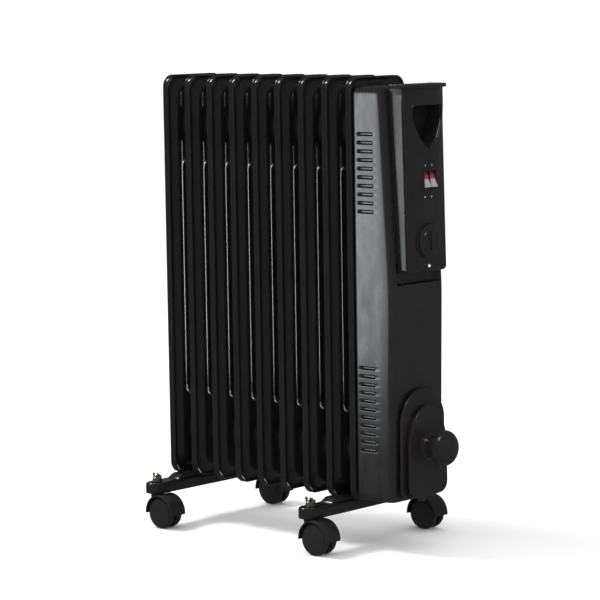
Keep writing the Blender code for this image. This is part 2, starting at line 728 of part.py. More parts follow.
def make_u_bolt(name, x):
    """A bolt bent over the lower header tube, with its two ends down through the foot."""
    curve = bpy.data.curves.new(name, "CURVE")
    curve.dimensions = "3D"
    curve.bevel_depth = U_BOLT_RADIUS
    curve.bevel_resolution = 2
    curve.use_fill_caps = True
    low = BEAM_TOP - BEAM_WALL - 0.0095
    points = [(-U_BOLT_Y, low)]
    points += [(-y, z) for y, z in arc((0, HUB_LOW), U_BOLT_Y, 0, 180, 10)]
    points += [(U_BOLT_Y, low)]
    spline = curve.splines.new("POLY")
    spline.points.add(len(points) - 1)
    for point, (across, height) in zip(spline.points, points):
        point.co = (x, across, height, 1.0)
    add_object(name, curve, ZINC)
    top = BEAM_TOP - BEAM_WALL - GAP
    for label, side in (("left", -1), ("right", 1)):
        y = side * U_BOLT_Y
        nut = add_object(
            f"{name}_nut_{label}", rod_mesh("nut", (x, y, top - 0.0045), (x, y, top), 0.0048, 6), ZINC
        )
        thread = rod_mesh("thread", (x, y, top - 0.02), (x, y, top + 0.02), U_BOLT_RADIUS + GAP, 10)
        cut(nut, thread, f"{name}_{label}_thread")


def make_wheel_mesh():
    """Half the section of a wheel disc: tread, domed outer face and bore; its outer face is at -Y."""
    bore = AXLE_RADIUS + 0.0004
    profile = [(bore, -0.0002), (0.0135, -0.0004), (0.0188, -0.0034), (WHEEL_RADIUS, -0.0062)]
    profile += [(WHEEL_RADIUS, -WHEEL_WIDTH), (bore, -WHEEL_WIDTH)]
    return profile_mesh("wheel", profile, closed=True)


def make_caster_stem(label, x, y):
    """A threaded stem through the foot, with a collar under it."""
    top = BEAM_TOP + 0.0105
    shoulder = BEAM_TOP - BEAM_WALL - GAP
    profile = [(0.0, top), (STEM_RADIUS - 0.0006, top), (STEM_RADIUS, top - 0.0006)]
    profile += [(STEM_RADIUS, shoulder), (COLLAR_RADIUS, shoulder), (COLLAR_RADIUS, COLLAR_BOTTOM)]
    profile += [(STEM_RADIUS, COLLAR_BOTTOM), (STEM_RADIUS, STEM_BOTTOM), (0.0, STEM_BOTTOM)]
    turned(f"caster_stem_{label}", profile, ZINC, Matrix.Translation((x, y, 0)), 10)


def make_wing_nut(label, x, y):
    """A round nut on top of the foot with two wings to turn it by."""
    low = BEAM_TOP + GAP
    boss = rod_mesh("wing_nut", (0, 0, low), (0, 0, low + 0.0055), 0.0068, 14, 0.0058)
    nut = add_object(f"wing_nut_{label}", boss, ZINC, Matrix.Translation((x, y, 0)))
    outline = [(0.0045, 0.001), (0.0075, 0.001), (0.0125, 0.0085), (0.0115, 0.0105)]
    outline += [(0.0088, 0.0100), (0.0045, 0.0050)]
    place = Matrix.Translation((x, y, low)) @ Matrix.Rotation(math.radians(25), 4, "Z")
    for side in (-1, 1):
        wing = outline_mesh("wing", outline, 0.0011)
        wing.transform(place @ Matrix.Scale(side, 4, (1, 0, 0)) @ TO_XZ)
        if side < 0:
            wing.flip_normals()
        cut(nut, wing, f"wing_{label}_{side + 1}", "UNION")
    thread = rod_mesh("thread", (x, y, low - 0.01), (x, y, low + 0.03), STEM_RADIUS + GAP, 12)
    cut(nut, thread, f"nut_thread_{label}")
    smooth(nut, 30)


def make_caster(label, x, y, wheel_mesh, hood_mesh):
    """A twin-wheel caster that trails towards +X; its two wheels turn together on one axle."""
    hood = add_object(f"caster_hood_{label}", hood_mesh, None, Matrix.Translation((x, y, 0)))
    smooth(hood, 30)
    centre = Matrix.Translation((x + CASTER_TRAIL, y, WHEEL_RADIUS))
    axle_mesh = rod_mesh("axle", (0, -0.0115, 0), (0, 0.0115, 0), AXLE_RADIUS, 10)
    smooth(add_object(f"caster_axle_{label}", axle_mesh, STEEL, centre), 30)
    for wheel_label, half_turn in (("outer", 0.0), ("inner", math.pi)):
        place = centre @ Matrix.Rotation(half_turn, 4, "Z") @ Matrix.Rotation(math.pi / 2, 4, "X")
        place = place @ Matrix.Translation((0, 0, HOOD_HALF_WIDTH))
        wheel = add_object(f"caster_wheel_{label}_{wheel_label}", wheel_mesh, None, place)
        turn(wheel, WHEEL_SIDES)


def make_hood_mesh():
    """The hood over the wheels' upper half, with its stem boss, about the stem's axis."""
    centre = (CASTER_TRAIL, WHEEL_RADIUS)

    def across(start, end, radius, sides):
        ends = [(centre[0], y, centre[1]) for y in sorted((start, end))]
        return rod_mesh("rod", ends[0], ends[1], radius, sides)

    outline = arc(centre, HOOD_RADIUS, 0, 180, 10)
    outline += arc(centre, WHEEL_RADIUS + 0.0012, 180, 0, 10)
    shell = placed(outline_mesh("hood", outline, HOOD_HALF_WIDTH - 0.0012), TO_XZ)
    hood = add_object("hood", shell, MATT_PLASTIC)
    web = outline_mesh("web", arc(centre, HOOD_RADIUS - 0.001, 0, 180, 10), WHEEL_INNER - 0.0006)
    cut(hood, placed(web, TO_XZ), "hood_web", "UNION")
    boss = rod_mesh("boss", (0, 0, 0.0300), (0, 0, 0.0472), BOSS_RADIUS, 14)
    cut(hood, boss, "hood_boss", "UNION")
    for side in (-1, 1):
        relief = across(side * (WHEEL_INNER - 0.0001), side * 0.02, WHEEL_RADIUS + 0.0010, WHEEL_SIDES)
        cut(hood, relief, f"hood_relief_{side + 1}")
    stem_bore = rod_mesh("bore", (0, 0, STEM_BOTTOM - GAP), (0, 0, 0.06), STEM_RADIUS + GAP, 12)
    cut(hood, stem_bore, "hood_bore")
    cut(hood, across(-0.02, 0.02, AXLE_RADIUS + 0.0004, 12), "hood_axle_hole")
    mesh = bake(hood)
    bpy.data.objects.remove(hood)
    return mesh


def make_feet_and_casters():
    wheel_mesh = make_wheel_mesh()
    wheel_mesh.materials.append(MATT_PLASTIC)
    hood_mesh = make_hood_mesh()
    for end, x in (("front", BEAM_X - MIDDLE_X), ("rear", -BEAM_X - MIDDLE_X)):
        make_foot(f"foot_{end}", x)
        make_u_bolt(f"u_bolt_{end}", x)
        for side, y in (("left", -CASTER_Y), ("right", CASTER_Y)):
            label = f"{end}_{side}"
            make_caster_stem(label, x, y)
            make_wing_nut(label, x, y)
            make_caster(label, x, y, wheel_mesh, hood_mesh)


make_fins()
make_heating_element()
make_header_fittings()
make_end_cover()
make_heat_shield()
make_control_housing()
make_handle_cap()
make_handle_pocket()
make_switches()
make_thermostat()
make_lamp()
make_wiring_parts()
make_cord_winder()
make_feet_and_casters()
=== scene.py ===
"""Looks of the oil filled radiator heater: pressed fins, louvred cover, controls, winder, feet and casters.

Metres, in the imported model's frame: +Z up, fins stacked along X, controls at +X, floor at Z = 0.
"""

import json
import math

import bmesh
import bpy
from mathutils import Matrix, Vector

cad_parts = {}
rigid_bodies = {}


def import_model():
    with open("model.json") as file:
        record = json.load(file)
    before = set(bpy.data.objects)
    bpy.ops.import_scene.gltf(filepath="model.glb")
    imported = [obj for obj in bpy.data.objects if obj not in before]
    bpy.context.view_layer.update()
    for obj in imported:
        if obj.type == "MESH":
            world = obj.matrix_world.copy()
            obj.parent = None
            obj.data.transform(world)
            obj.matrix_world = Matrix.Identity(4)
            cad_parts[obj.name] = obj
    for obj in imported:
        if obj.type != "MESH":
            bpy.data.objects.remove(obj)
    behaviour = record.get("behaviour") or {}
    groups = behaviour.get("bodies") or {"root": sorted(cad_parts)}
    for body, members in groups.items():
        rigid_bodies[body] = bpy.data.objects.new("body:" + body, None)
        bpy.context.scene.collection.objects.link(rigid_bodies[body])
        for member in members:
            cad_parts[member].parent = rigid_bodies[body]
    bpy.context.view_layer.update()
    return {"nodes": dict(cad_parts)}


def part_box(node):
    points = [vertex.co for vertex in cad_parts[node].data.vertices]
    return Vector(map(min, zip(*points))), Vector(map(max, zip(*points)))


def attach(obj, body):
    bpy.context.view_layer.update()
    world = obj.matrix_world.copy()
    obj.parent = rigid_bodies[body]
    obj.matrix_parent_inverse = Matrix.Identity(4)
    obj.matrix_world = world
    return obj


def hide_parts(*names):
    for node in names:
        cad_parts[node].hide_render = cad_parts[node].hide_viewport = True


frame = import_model()

FINS = bpy.data.collections.new("fins_lit_from_behind")
SHELLS = bpy.data.collections.new("shells_lit_from_the_side")
DETAILS = bpy.data.collections.new("details_lit_from_above")

MM = 0.001
FIN_COUNT = 9
ENDS = ("front", "rear")
SIDES = ("left", "right")
CORNERS = [f"{end}_{side}" for end in ENDS for side in SIDES]


# -------------------- mesh tools


def box_middle(node):
    low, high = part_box(node)
    return (low + high) / 2


def smoothstep(value):
    value = min(max(value, 0.0), 1.0)
    return value * value * (3 - 2 * value)


def arc(centre, radius, start, end, steps):
    """Points on a circle in a plane, from one angle to another in degrees."""
    angles = [math.radians(start + (end - start) * step / steps) for step in range(steps + 1)]
    return [(centre[0] + radius * math.cos(a), centre[1] + radius * math.sin(a)) for a in angles]


def profile_mm(points):
    return [(radius * MM, height * MM) for radius, height in points]


def shade(piece, angle=32):
    piece.data.shade_smooth()
    piece.data.set_sharp_from_angle(angle=math.radians(angle))
    return piece


def mesh_from(bm, name, outward=True, merged=1e-6):
    bmesh.ops.remove_doubles(bm, verts=bm.verts, dist=merged)
    if outward:
        bmesh.ops.recalc_face_normals(bm, faces=bm.faces)
    mesh = bpy.data.meshes.new(name)
    bm.to_mesh(mesh)
    bm.free()
    return mesh


def add_object(name, data):
    piece = bpy.data.objects.new(name, data)
    bpy.context.scene.collection.objects.link(piece)
    return piece


def object_from(bm, name, angle=32, outward=True):
    return shade(add_object(name, mesh_from(bm, name, outward)), angle)


def add_rings(bm, rings, closed=True, caps=(False, False)):
    """Joins rings of points, one to the next, with quads."""
    made = [[bm.verts.new(point) for point in ring] for ring in rings]
    for first, second in zip(made, made[1:]):
        count = len(first)
        for index in range(count if closed else count - 1):
            after = (index + 1) % count
            bm.faces.new((first[index], first[after], second[after], second[index]))
    if caps[0]:
        bm.faces.new(reversed(made[0]))
    if caps[1]:
        bm.faces.new(made[-1])
    return made


def add_lathe(bm, profile, centre, axis, steps=48):
    """Turns a profile of (radius, height along the axis) about an axis through the centre."""
    turn = Vector((0, 0, 1)).rotation_difference(Vector(axis)).to_matrix()
    rings = []
    for radius, height in profile:
        ring = []
        for step in range(steps):
            angle = 2 * math.pi * step / steps
            offset = Vector((radius * math.cos(angle), radius * math.sin(angle), height))
            ring.append(Vector(centre) + turn @ offset)
        rings.append(ring)
    ends = (profile[0][0] > 1e-7, profile[-1][0] > 1e-7)
    add_rings(bm, rings, caps=ends)


def lathe(name, profile, centre, axis, steps=48, angle=32):
    bm = bmesh.new()
    add_lathe(bm, profile, centre, axis, steps)
    return object_from(bm, name, angle)


def add_tube(bm, path, radius, steps, closed=False):
    """A round tube along a path."""
    points = [Vector(point) for point in path]
    count = len(points)
    normal = None
    rings = []
    for index, point in enumerate(points):
        before = points[index - 1] if closed or index else points[0]
        after = points[(index + 1) % count] if closed or index < count - 1 else points[-1]
        along = (after - before).normalized()
        if normal is None:
            normal = along.orthogonal().normalized()
        normal = (normal - along * normal.dot(along)).normalized()
        side = along.cross(normal)
        ring = []
        for step in range(steps):
            angle = 2 * math.pi * step / steps
            ring.append(point + (normal * math.cos(angle) + side * math.sin(angle)) * radius)
        rings.append(ring)
    if closed:
        rings.append(rings[0])
    add_rings(bm, rings, caps=(not closed, not closed))


def rounded_polygon(points, radius, steps=6):
    """A closed outline with each corner rounded by an arc of at most the given radius."""
    count = len(points)
    made = []
    for index in range(count):
        before, corner, after = (Vector(points[(index + k) % count]) for k in (-1, 0, 1))
        into, out = (corner - before).normalized(), (after - corner).normalized()
        half = math.acos(max(-1.0, min(1.0, into.dot(out)))) / 2
        if half < 1e-3:
            made.append(tuple(corner))
            continue
        reach = min(radius * math.tan(half), 0.45 * (corner - before).length, 0.45 * (after - corner).length)
        start, end = corner - into * reach, corner + out * reach
        for step in range(steps + 1):
            t = step / steps
            made.append(tuple(start * (1 - t) ** 2 + corner * 2 * t * (1 - t) + end * t * t))
    return made


def rounded_box(low, high, radius, steps):
    """A rectangle between two corners, with rounded corners."""
    corners = [low, (high[0], low[1]), high, (low[0], high[1])]
    return rounded_polygon(corners, radius, steps)


def facing_x(y, z, x):
    return (x, y, z)


def add_prism(bm, outline, depths):
    """A straight-edged solid with its outline in YZ, between two depths along X."""
    add_rings(bm, [[facing_x(y, z, x) for y, z in outline] for x in depths], caps=(True, True))


def quarter_round(radius, steps):
    """A rounded edge from its outer end to its inner one: at each step, the inset and the rise."""
    angles = [math.pi / 2 * step / steps for step in range(steps + 1)]
    return [(radius * (1 - math.sin(angle)), radius * (1 - math.cos(angle))) for angle in angles]


def add_solid_outline(bm, outline, to_point, low, high, edge, rounds=3):
    """An outline with rounded edges: to_point(across, along, depth) places it, from depth low to high."""
    middle = sum((Vector(p) for p in outline), Vector((0, 0))) / len(outline)
    count = len(outline)

    def shrunk(inset):
        ring = []
        for index, point in enumerate(outline):
            before, after = Vector(outline[index - 1]), Vector(outline[(index + 1) % count])
            along = (after - before).normalized()
            inward = Vector((-along.y, along.x))
            if inward.dot(middle - Vector(point)) < -1e-6:
                inward = -inward
            ring.append(Vector(point) + inward * inset)
        return ring

    rounded = quarter_round(edge, rounds)
    levels = [(inset, low + rise) for inset, rise in rounded]
    levels += [(inset, high - rise) for inset, rise in reversed(rounded)]
    rings = [[to_point(p.x, p.y, depth) for p in shrunk(inset)] for inset, depth in levels]
    add_rings(bm, rings, caps=(True, True))


def dress(piece, material, nodes=(), body="heater"):
    """The material and its slot, the CAD nodes that the piece stands for, and the body it moves with."""
    piece.data.materials.clear()
    piece.data.materials.append(material)
    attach(piece, body)
    if nodes:
        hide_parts(*nodes)
    return piece


def solidify(piece, thickness):
    modifier = piece.modifiers.new("wall", "SOLIDIFY")
    modifier.thickness = thickness
    modifier.offset = -1.0
    modifier.use_even_offset = True


# -------------------- materials


def set_inputs(tree, node, **inputs):
    """Sets a node's inputs to values, or links them to other nodes' outputs; "_" stands for a space."""
    for name, value in inputs.items():
        socket = node.inputs[name.replace("_", " ")]
        if isinstance(value, bpy.types.NodeSocket):
            tree.links.new(value, socket)
        elif socket.type == "RGBA":
            socket.default_value = (*value, 1.0)
        else:
            socket.default_value = value


def add_node(tree, kind, **inputs):
    node = tree.nodes.new(kind)
    set_inputs(tree, node, **inputs)
    return node


def start_material(name, color, roughness, metallic=0.0, ior=1.5):
    material = bpy.data.materials.new(name)
    material.use_nodes = True
    tree = material.node_tree
    shader = tree.nodes["Principled BSDF"]
    set_inputs(tree, shader, Base_Color=color, Roughness=roughness, Metallic=metallic, IOR=ior)
    return material, tree, shader


def add_noise(tree, scale, detail=2.0, stretch=(1, 1, 1)):
    place = add_node(tree, "ShaderNodeTexCoord").outputs["Object"]
    mapping = add_node(tree, "ShaderNodeMapping", Vector=place, Scale=stretch)
    vector = mapping.outputs["Vector"]
    return add_node(tree, "ShaderNodeTexNoise", Vector=vector, Scale=scale, Detail=detail).outputs["Fac"]


def add_range(tree, source, low, high, start=0.3, end=0.7):
    """Maps a factor between start and end to values between low and high."""
    limits = {"From_Min": start, "From_Max": end, "To_Min": low, "To_Max": high}
    return add_node(tree, "ShaderNodeMapRange", Value=source, **limits).outputs["Result"]


def add_blend(tree, source, first, second):
    """A colour between two, by a factor."""
    mix = tree.nodes.new("ShaderNodeMix")
    mix.data_type = "RGBA"
    set_inputs(tree, mix, Factor=source, A=first, B=second)
    return mix.outputs["Result"]


def add_bump(tree, height, distance, strength):
    inputs = {"Height": height, "Distance": distance, "Strength": strength}
    return add_node(tree, "ShaderNodeBump", **inputs).outputs["Normal"]


def coated(name, dark, light, roughness, grain, grain_depth, ior):
    """A coating or plastic: slight patchiness in colour and gloss, and a fine surface texture."""
    material, tree, shader = start_material(name, dark, roughness, ior=ior)
    patches = add_range(tree, add_noise(tree, 22.0, 4.0), 0.0, 1.0)
    color = add_blend(tree, patches, dark, light)
    smears = add_noise(tree, 70.0, 5.0, (1, 1, 0.4))
    gloss = add_range(tree, smears, roughness * 0.75, roughness * 1.25)
    texture = add_bump(tree, add_noise(tree, grain), grain_depth, 1.0)
    set_inputs(tree, shader, Base_Color=color, Roughness=gloss, Normal=texture)
    return material


def bright_metal(name, color, roughness, stain):
    """Plated steel: uneven zinc tone, darker in random patches, and fine scratches."""
    material, tree, shader = start_material(name, color, roughness, 1.0)
    clouds = add_range(tree, add_noise(tree, 260.0, 5.0), 0.0, 1.0)
    tone = add_blend(tree, clouds, stain, color)
    scratches = add_noise(tree, 900.0, 3.0, (0.2, 1, 1))
    gloss = add_range(tree, scratches, roughness * 0.7, roughness * 1.4)
    texture = add_bump(tree, scratches, 0.00004, 0.6)
    set_inputs(tree, shader, Base_Color=tone, Roughness=gloss, Normal=texture)
    return material


def rocker_with_painted_light(name, painted_highlight_top, red_top):
    """A rocker with a painted highlight as its pale lower part, a clear red band, and painted shade as its
    dark upper part.
    """
    material, tree, shader = start_material(name, (0.45, 0.02, 0.03), 0.22)
    place = add_node(tree, "ShaderNodeTexCoord").outputs["Object"]
    height = add_node(tree, "ShaderNodeSeparateXYZ", Vector=place).outputs["Z"]
    clouds = add_noise(tree, 300.0, 3.0)
    # Painted highlight: the pale grey lower part stands for light glancing off the rocker's lower end.
    color = add_blend(tree, clouds, (0.26, 0.26, 0.27), (0.34, 0.34, 0.35))
    red = add_blend(tree, clouds, (0.26, 0.012, 0.02), (0.36, 0.02, 0.035))
    # Painted shade: the dark upper part stands for the shadow at the top of the switch's well.
    dark = add_blend(tree, clouds, (0.045, 0.018, 0.02), (0.06, 0.026, 0.03))
    blur = 0.8 * MM
    for edge, above in ((painted_highlight_top, red), (red_top, dark)):
        share = add_range(tree, height, 0.0, 1.0, edge - blur, edge + blur)
        color = add_blend(tree, share, color, above)
    gloss = add_range(tree, clouds, 0.18, 0.3)
    texture = add_bump(tree, clouds, 0.00003, 0.5)
    set_inputs(tree, shader, Base_Color=color, Roughness=gloss, Normal=texture)
    return material


# Name, darkest and lightest colour, roughness, scale and depth of the grain, index of refraction.
ENAMEL = coated(
    "gloss_black_enamel", (0.009, 0.0088, 0.0088), (0.012, 0.0118, 0.0118), 0.17, 260.0, 0.00005, 1.5
)
SATIN = coated(
    "satin_black_steel", (0.010, 0.0098, 0.010), (0.013, 0.0127, 0.013), 0.3, 1500.0, 0.00002, 1.6
)
PLASTIC = coated(
    "semi_gloss_plastic", (0.011, 0.0098, 0.0095), (0.014, 0.0128, 0.0124), 0.26, 1300.0, 0.00002, 1.45
)
MATT = coated(
    "grained_plastic", (0.011, 0.0098, 0.0098), (0.015, 0.0138, 0.0138), 0.45, 2100.0, 0.00006, 1.46
)
RUBBER = coated("rubber", (0.012, 0.012, 0.012), (0.022, 0.021, 0.02), 0.6, 1200.0, 0.0001, 1.45)
CERAMIC = coated("ceramic", (0.62, 0.59, 0.52), (0.75, 0.72, 0.66), 0.5, 800.0, 0.0001, 1.5)
LENS = coated("lamp_lens", (0.82, 0.82, 0.8), (0.9, 0.9, 0.88), 0.2, 900.0, 0.00002, 1.5)
GREY_MARK = coated("grey_mark", (0.3, 0.3, 0.3), (0.36, 0.36, 0.36), 0.4, 900.0, 0.00002, 1.45)
# The rocker's heights where the painted highlight gives way to red, and red gives way to painted shade.
ROCKER_RED_WITH_PAINTED_LIGHT = rocker_with_painted_light("rocker_bands", 0.4655, 0.4705)
ZINC = bright_metal("zinc_plate", (0.62, 0.58, 0.53), 0.3, (0.33, 0.29, 0.25))
STEEL = bright_metal("aluminised_steel", (0.52, 0.52, 0.53), 0.35, (0.36, 0.36, 0.37))
COPPER = bright_metal("heater_copper", (0.6, 0.34, 0.2), 0.35, (0.36, 0.17, 0.1))


# -------------------- fins

FIN_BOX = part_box("fin_5")
FIN_HALF_DEPTH = FIN_BOX[1].y
FIN_LOW, FIN_HIGH = FIN_BOX[0].z, FIN_BOX[1].z
FIN_PITCH = (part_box("fin_8")[0].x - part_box("fin_2")[0].x) / 6
FIN_MIDDLE = (FIN_BOX[0].x + FIN_BOX[1].x) / 2
HUB_HALF = FIN_BOX[1].x - FIN_MIDDLE
END_HUB = 11.0 * MM
HUB_HEIGHTS = (FIN_LOW + 61 * MM, FIN_HIGH - 66 * MM)
FIN_CORNER = 16.0 * MM
INNER_CORNER_GROWTH = 16.5 * MM
BEAD = 1.6 * MM
BEAD_OFFSET = 3.0 * MM
FLANGE = 2.4 * MM
CHANNEL = 9.4 * MM
CHANNEL_START = 6.5 * MM
CHANNEL_END = 14.0 * MM
RECESS_ENDS = (FIN_LOW + 106 * MM, FIN_HIGH - 111 * MM)
RECESS_HALF = 32.6 * MM
RECESS_CORNER = 11.0 * MM
RECESS_SLOPE = 8.0 * MM
RECESS_FLOOR = 2.2 * MM
STEP_ENDS = (FIN_LOW + 108 * MM, FIN_HIGH - 20 * MM)
STEP_WIDTH = 2.6 * MM
STEP_DEPTH = 0.9 * MM
HUB_FOOT = 31.0 * MM
HUB_FACE = 20.5 * MM


def fin_loop(inset, radius, columns, shares, corner_steps):
    """A rounded rectangle's bottom, right, top and left sides in YZ, split at the middles of its corners."""
    half = FIN_HALF_DEPTH - inset
    low, high = FIN_LOW + inset, FIN_HIGH - inset
    reach, start, end = half - radius, low + radius, high - radius
    straight = columns - 2 * corner_steps
    bottom = arc((-reach, start), radius, 225, 270, corner_steps)
    bottom += [(-reach + 2 * reach * step / straight, low) for step in range(1, straight)]
    bottom += arc((reach, start), radius, 270, 315, corner_steps)
    right = arc((reach, start), radius, -45, 0, corner_steps)
    right += [(half, start + share * (end - start)) for share in shares[1:-1]]
    right += arc((reach, end), radius, 0, 45, corner_steps)
    top = [(y, low + high - z) for y, z in bottom]
    left = [(-y, z) for y, z in right]
    return bottom, right, top, left


def fin_height(y, z, hub):
    """How far the pressed face stands from the fin's middle plane, inside the oil channel's edge."""
    across = abs(y) - RECESS_HALF + RECESS_CORNER
    along = max(RECESS_ENDS[0] - z, z - RECESS_ENDS[1]) + RECESS_CORNER
    outside = math.hypot(max(across, 0.0), max(along, 0.0)) + min(max(across, along), 0.0)
    recess = smoothstep((RECESS_CORNER - outside) / RECESS_SLOPE)
    height = CHANNEL - (CHANNEL - RECESS_FLOOR) * recess
    step = smoothstep((RECESS_HALF - abs(y)) / STEP_WIDTH)
    step *= smoothstep((z - STEP_ENDS[0]) / (4 * MM)) * smoothstep((STEP_ENDS[1] - z) / (4 * MM))
    height = min(height, CHANNEL - STEP_DEPTH * step)
    for centre in HUB_HEIGHTS:
        distance = math.hypot(y, z - centre)
        height += (hub - CHANNEL) * smoothstep((HUB_FOOT - distance) / (HUB_FOOT - HUB_FACE))
    return height


def fin_row_shares():
    """Rows up the fin, closer together at the two headers and at the recess's ends."""
    start = FIN_LOW + 20 * MM
    length = FIN_HIGH - FIN_LOW - 40 * MM
    shares = [0.0]
    while shares[-1] < 1.0:
        height = start + shares[-1] * length
        near_hub = min(abs(height - centre) for centre in HUB_HEIGHTS) < HUB_FOOT
        near_end = min(abs(height - end) for end in RECESS_ENDS) < 14 * MM
        step = 2.4 * MM if near_hub or near_end else 14 * MM
        shares.append(shares[-1] + step / length)
    return [share / shares[-1] for share in shares]


def fin_rings():
    """The (inset, corner radius, height) of each ring from the seam in to the channel's top."""
    rings = [(1.5 * MM, 0.0), (1.4 * MM, 0.9 * MM)]
    rings += [(BEAD + BEAD * c, BEAD_OFFSET + BEAD * s) for c, s in arc((0, 0), 1.0, 212, 18, 8)]
    rings += [(3.7 * MM, FLANGE + 0.25 * MM), (4.6 * MM, FLANGE)]
    steps = 8
    for step in range(steps + 1):
        share = step / steps
        inset = CHANNEL_START + share * (CHANNEL_END - CHANNEL_START)
        rings.append((inset, FLANGE + (CHANNEL - FLANGE) * smoothstep(share)))
    made = []
    for inset, height in rings:
        radius = FIN_CORNER - inset + INNER_CORNER_GROWTH * smoothstep((inset - 3 * MM) / (9 * MM))
        made.append((inset, radius, height))
    return made


def make_fin_mesh(name, hub_back, hub_front):
    """Both pressed halves: rings from the seam in to the oil channel, and a grid inside them."""
    columns, corner_steps = 30, 9
    shares = fin_row_shares()
    bm = bmesh.new()
    for side, hub in ((1, hub_front), (-1, hub_back)):
        loops = []
        for inset, radius, height in fin_rings():
            bottom, right, top, left = fin_loop(inset, radius, columns, shares, corner_steps)
            loop = bottom[:-1] + right[:-1] + top[::-1][:-1] + left[::-1][:-1]
            loops.append([(side * height, y, z) for y, z in loop])
        add_rings(bm, loops)
        grid = []
        first_y, last_y = bottom[0][0], bottom[-1][0]
        low_z, high_z = right[0][1], right[-1][1]
        for (left_y, _), (right_y, row_z) in zip(left, right):
            up = (row_z - low_z) / (high_z - low_z)
            line = []
            for (column_y, bottom_z), (_, top_z) in zip(bottom, top):
                across = (column_y - first_y) / (last_y - first_y)
                y = column_y + (1 - across) * (left_y - first_y) + across * (right_y - last_y)
                z = row_z + (1 - up) * (bottom_z - low_z) + up * (top_z - high_z)
                line.append((side * fin_height(y, z, hub), y, z))
            grid.append(line)
        add_rings(bm, grid, closed=False)
    mesh = mesh_from(bm, name, merged=2e-6)
    mesh.shade_smooth()
    return mesh


def make_fins():
    inner = make_fin_mesh("fin_pressed_inner", HUB_HALF, HUB_HALF)
    first = make_fin_mesh("fin_pressed_first", END_HUB, HUB_HALF)
    meshes = {1: first, FIN_COUNT: make_fin_mesh("fin_pressed_last", HUB_HALF, END_HUB)}
    for index in range(1, FIN_COUNT + 1):
        fin = add_object(f"fin_{index}_pressed", meshes.get(index, inner))
        fin.location = (FIN_MIDDLE + (index - 5) * FIN_PITCH, 0, 0)
        dress(fin, ENAMEL, [f"fin_{index}"])
        FINS.objects.link(fin)


# -------------------- end cover

COVER_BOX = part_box("end_cover")
COVER_HALF = COVER_BOX[1].y
COVER_BACK = COVER_BOX[0].x
COVER_LOW, COVER_HIGH = COVER_BOX[0].z, COVER_BOX[1].z
COVER_CORNER = 8.6 * MM
COVER_TOP_ROUND = 10.5 * MM
COVER_FOOT_ROUND = 3.0 * MM
COVER_SHOULDER = COVER_HIGH - COVER_TOP_ROUND
# Height above the floor, and how far the front lies behind its furthest point.
COVER_PROFILE = ((64, 4.0), (330, 0.0), (392, 3.5), (528, 11.5), (580, 14.5))
LEDGE_HEIGHT = 0.3355
LEDGE_TOP = 0.356
LEDGE_DEPTH = 5.5 * MM
LEDGE_HALF = 44.5 * MM
LOUVRE_MIDDLE = COVER_BACK + 18 * MM
LOUVRE_HALF = 13.0 * MM
LOUVRE_HEIGHT = 3.6 * MM
LOUVRE_DEPTH = 1.7 * MM
LOUVRE_RAMP = 3.2 * MM
LOUVRE_SLIT = 0.35 * MM
LOUVRES = [0.4255 + index * 0.01065 for index in range(10)]
LOUVRES += [0.1275 + index * 0.0103 for index in range(11)]


def cover_front(height):
    """The X of the cover's front face at a height, on straight lines between the profile's points."""
    level = height / MM
    points = COVER_PROFILE
    for (low, behind), (high, behind_next) in zip(points, points[1:]):
        if level <= high:
            share = min(max((level - low) / (high - low), 0.0), 1.0)
            return COVER_BOX[1].x - (behind + (behind_next - behind) * share) * MM
    return COVER_BOX[1].x - points[-1][1] * MM


def soft_front(height):
    """The profile with its bends eased over 30 mm."""
    samples = [cover_front(height + offset * MM) for offset in (-15, -10, -5, 0, 5, 10, 15)]
    return sum(samples) / len(samples)


def louvre_depth(x, z):
    """How far a louvre's strip is pressed in; its long edges are slits."""
    across = abs(x - LOUVRE_MIDDLE)
    for middle in LOUVRES:
        if abs(z - middle) <= LOUVRE_HEIGHT / 2 + 1e-6:
            return LOUVRE_DEPTH * smoothstep((LOUVRE_HALF - across) / LOUVRE_RAMP)
    return 0.0


def cover_levels():
    """Every height at which the cover's skin has a row: evenly spaced, and at the louvres and ledge."""
    levels = {COVER_LOW + COVER_FOOT_ROUND, COVER_SHOULDER}
    steps = int((COVER_HIGH - COVER_LOW) / (9 * MM))
    for step in range(1, steps):
        levels.add(round(COVER_LOW + (COVER_HIGH - COVER_LOW) * step / steps, 5))
    louvred = set()
    for middle in LOUVRES:
        for offset in (-0.5, 0.0, 0.5):
            louvred.add(round(middle + offset * LOUVRE_HEIGHT, 6))
        for margin in (LOUVRE_SLIT, LOUVRE_SLIT + 0.8 * MM):
            for side in (-1, 1):
                louvred.add(round(middle + side * (LOUVRE_HEIGHT / 2 + margin), 6))
    for offset in (-2.4, -1.2, -0.6, 0.0, 0.6, 1.4):
        louvred.add(round(LEDGE_HEIGHT + offset * MM, 6))
    within = [level for level in levels if COVER_LOW + 2 * MM < level < COVER_SHOULDER + 1e-6]
    kept = {level for level in within if all(abs(level - other) > 1.2 * MM for other in louvred)}
    return sorted(louvred | kept)


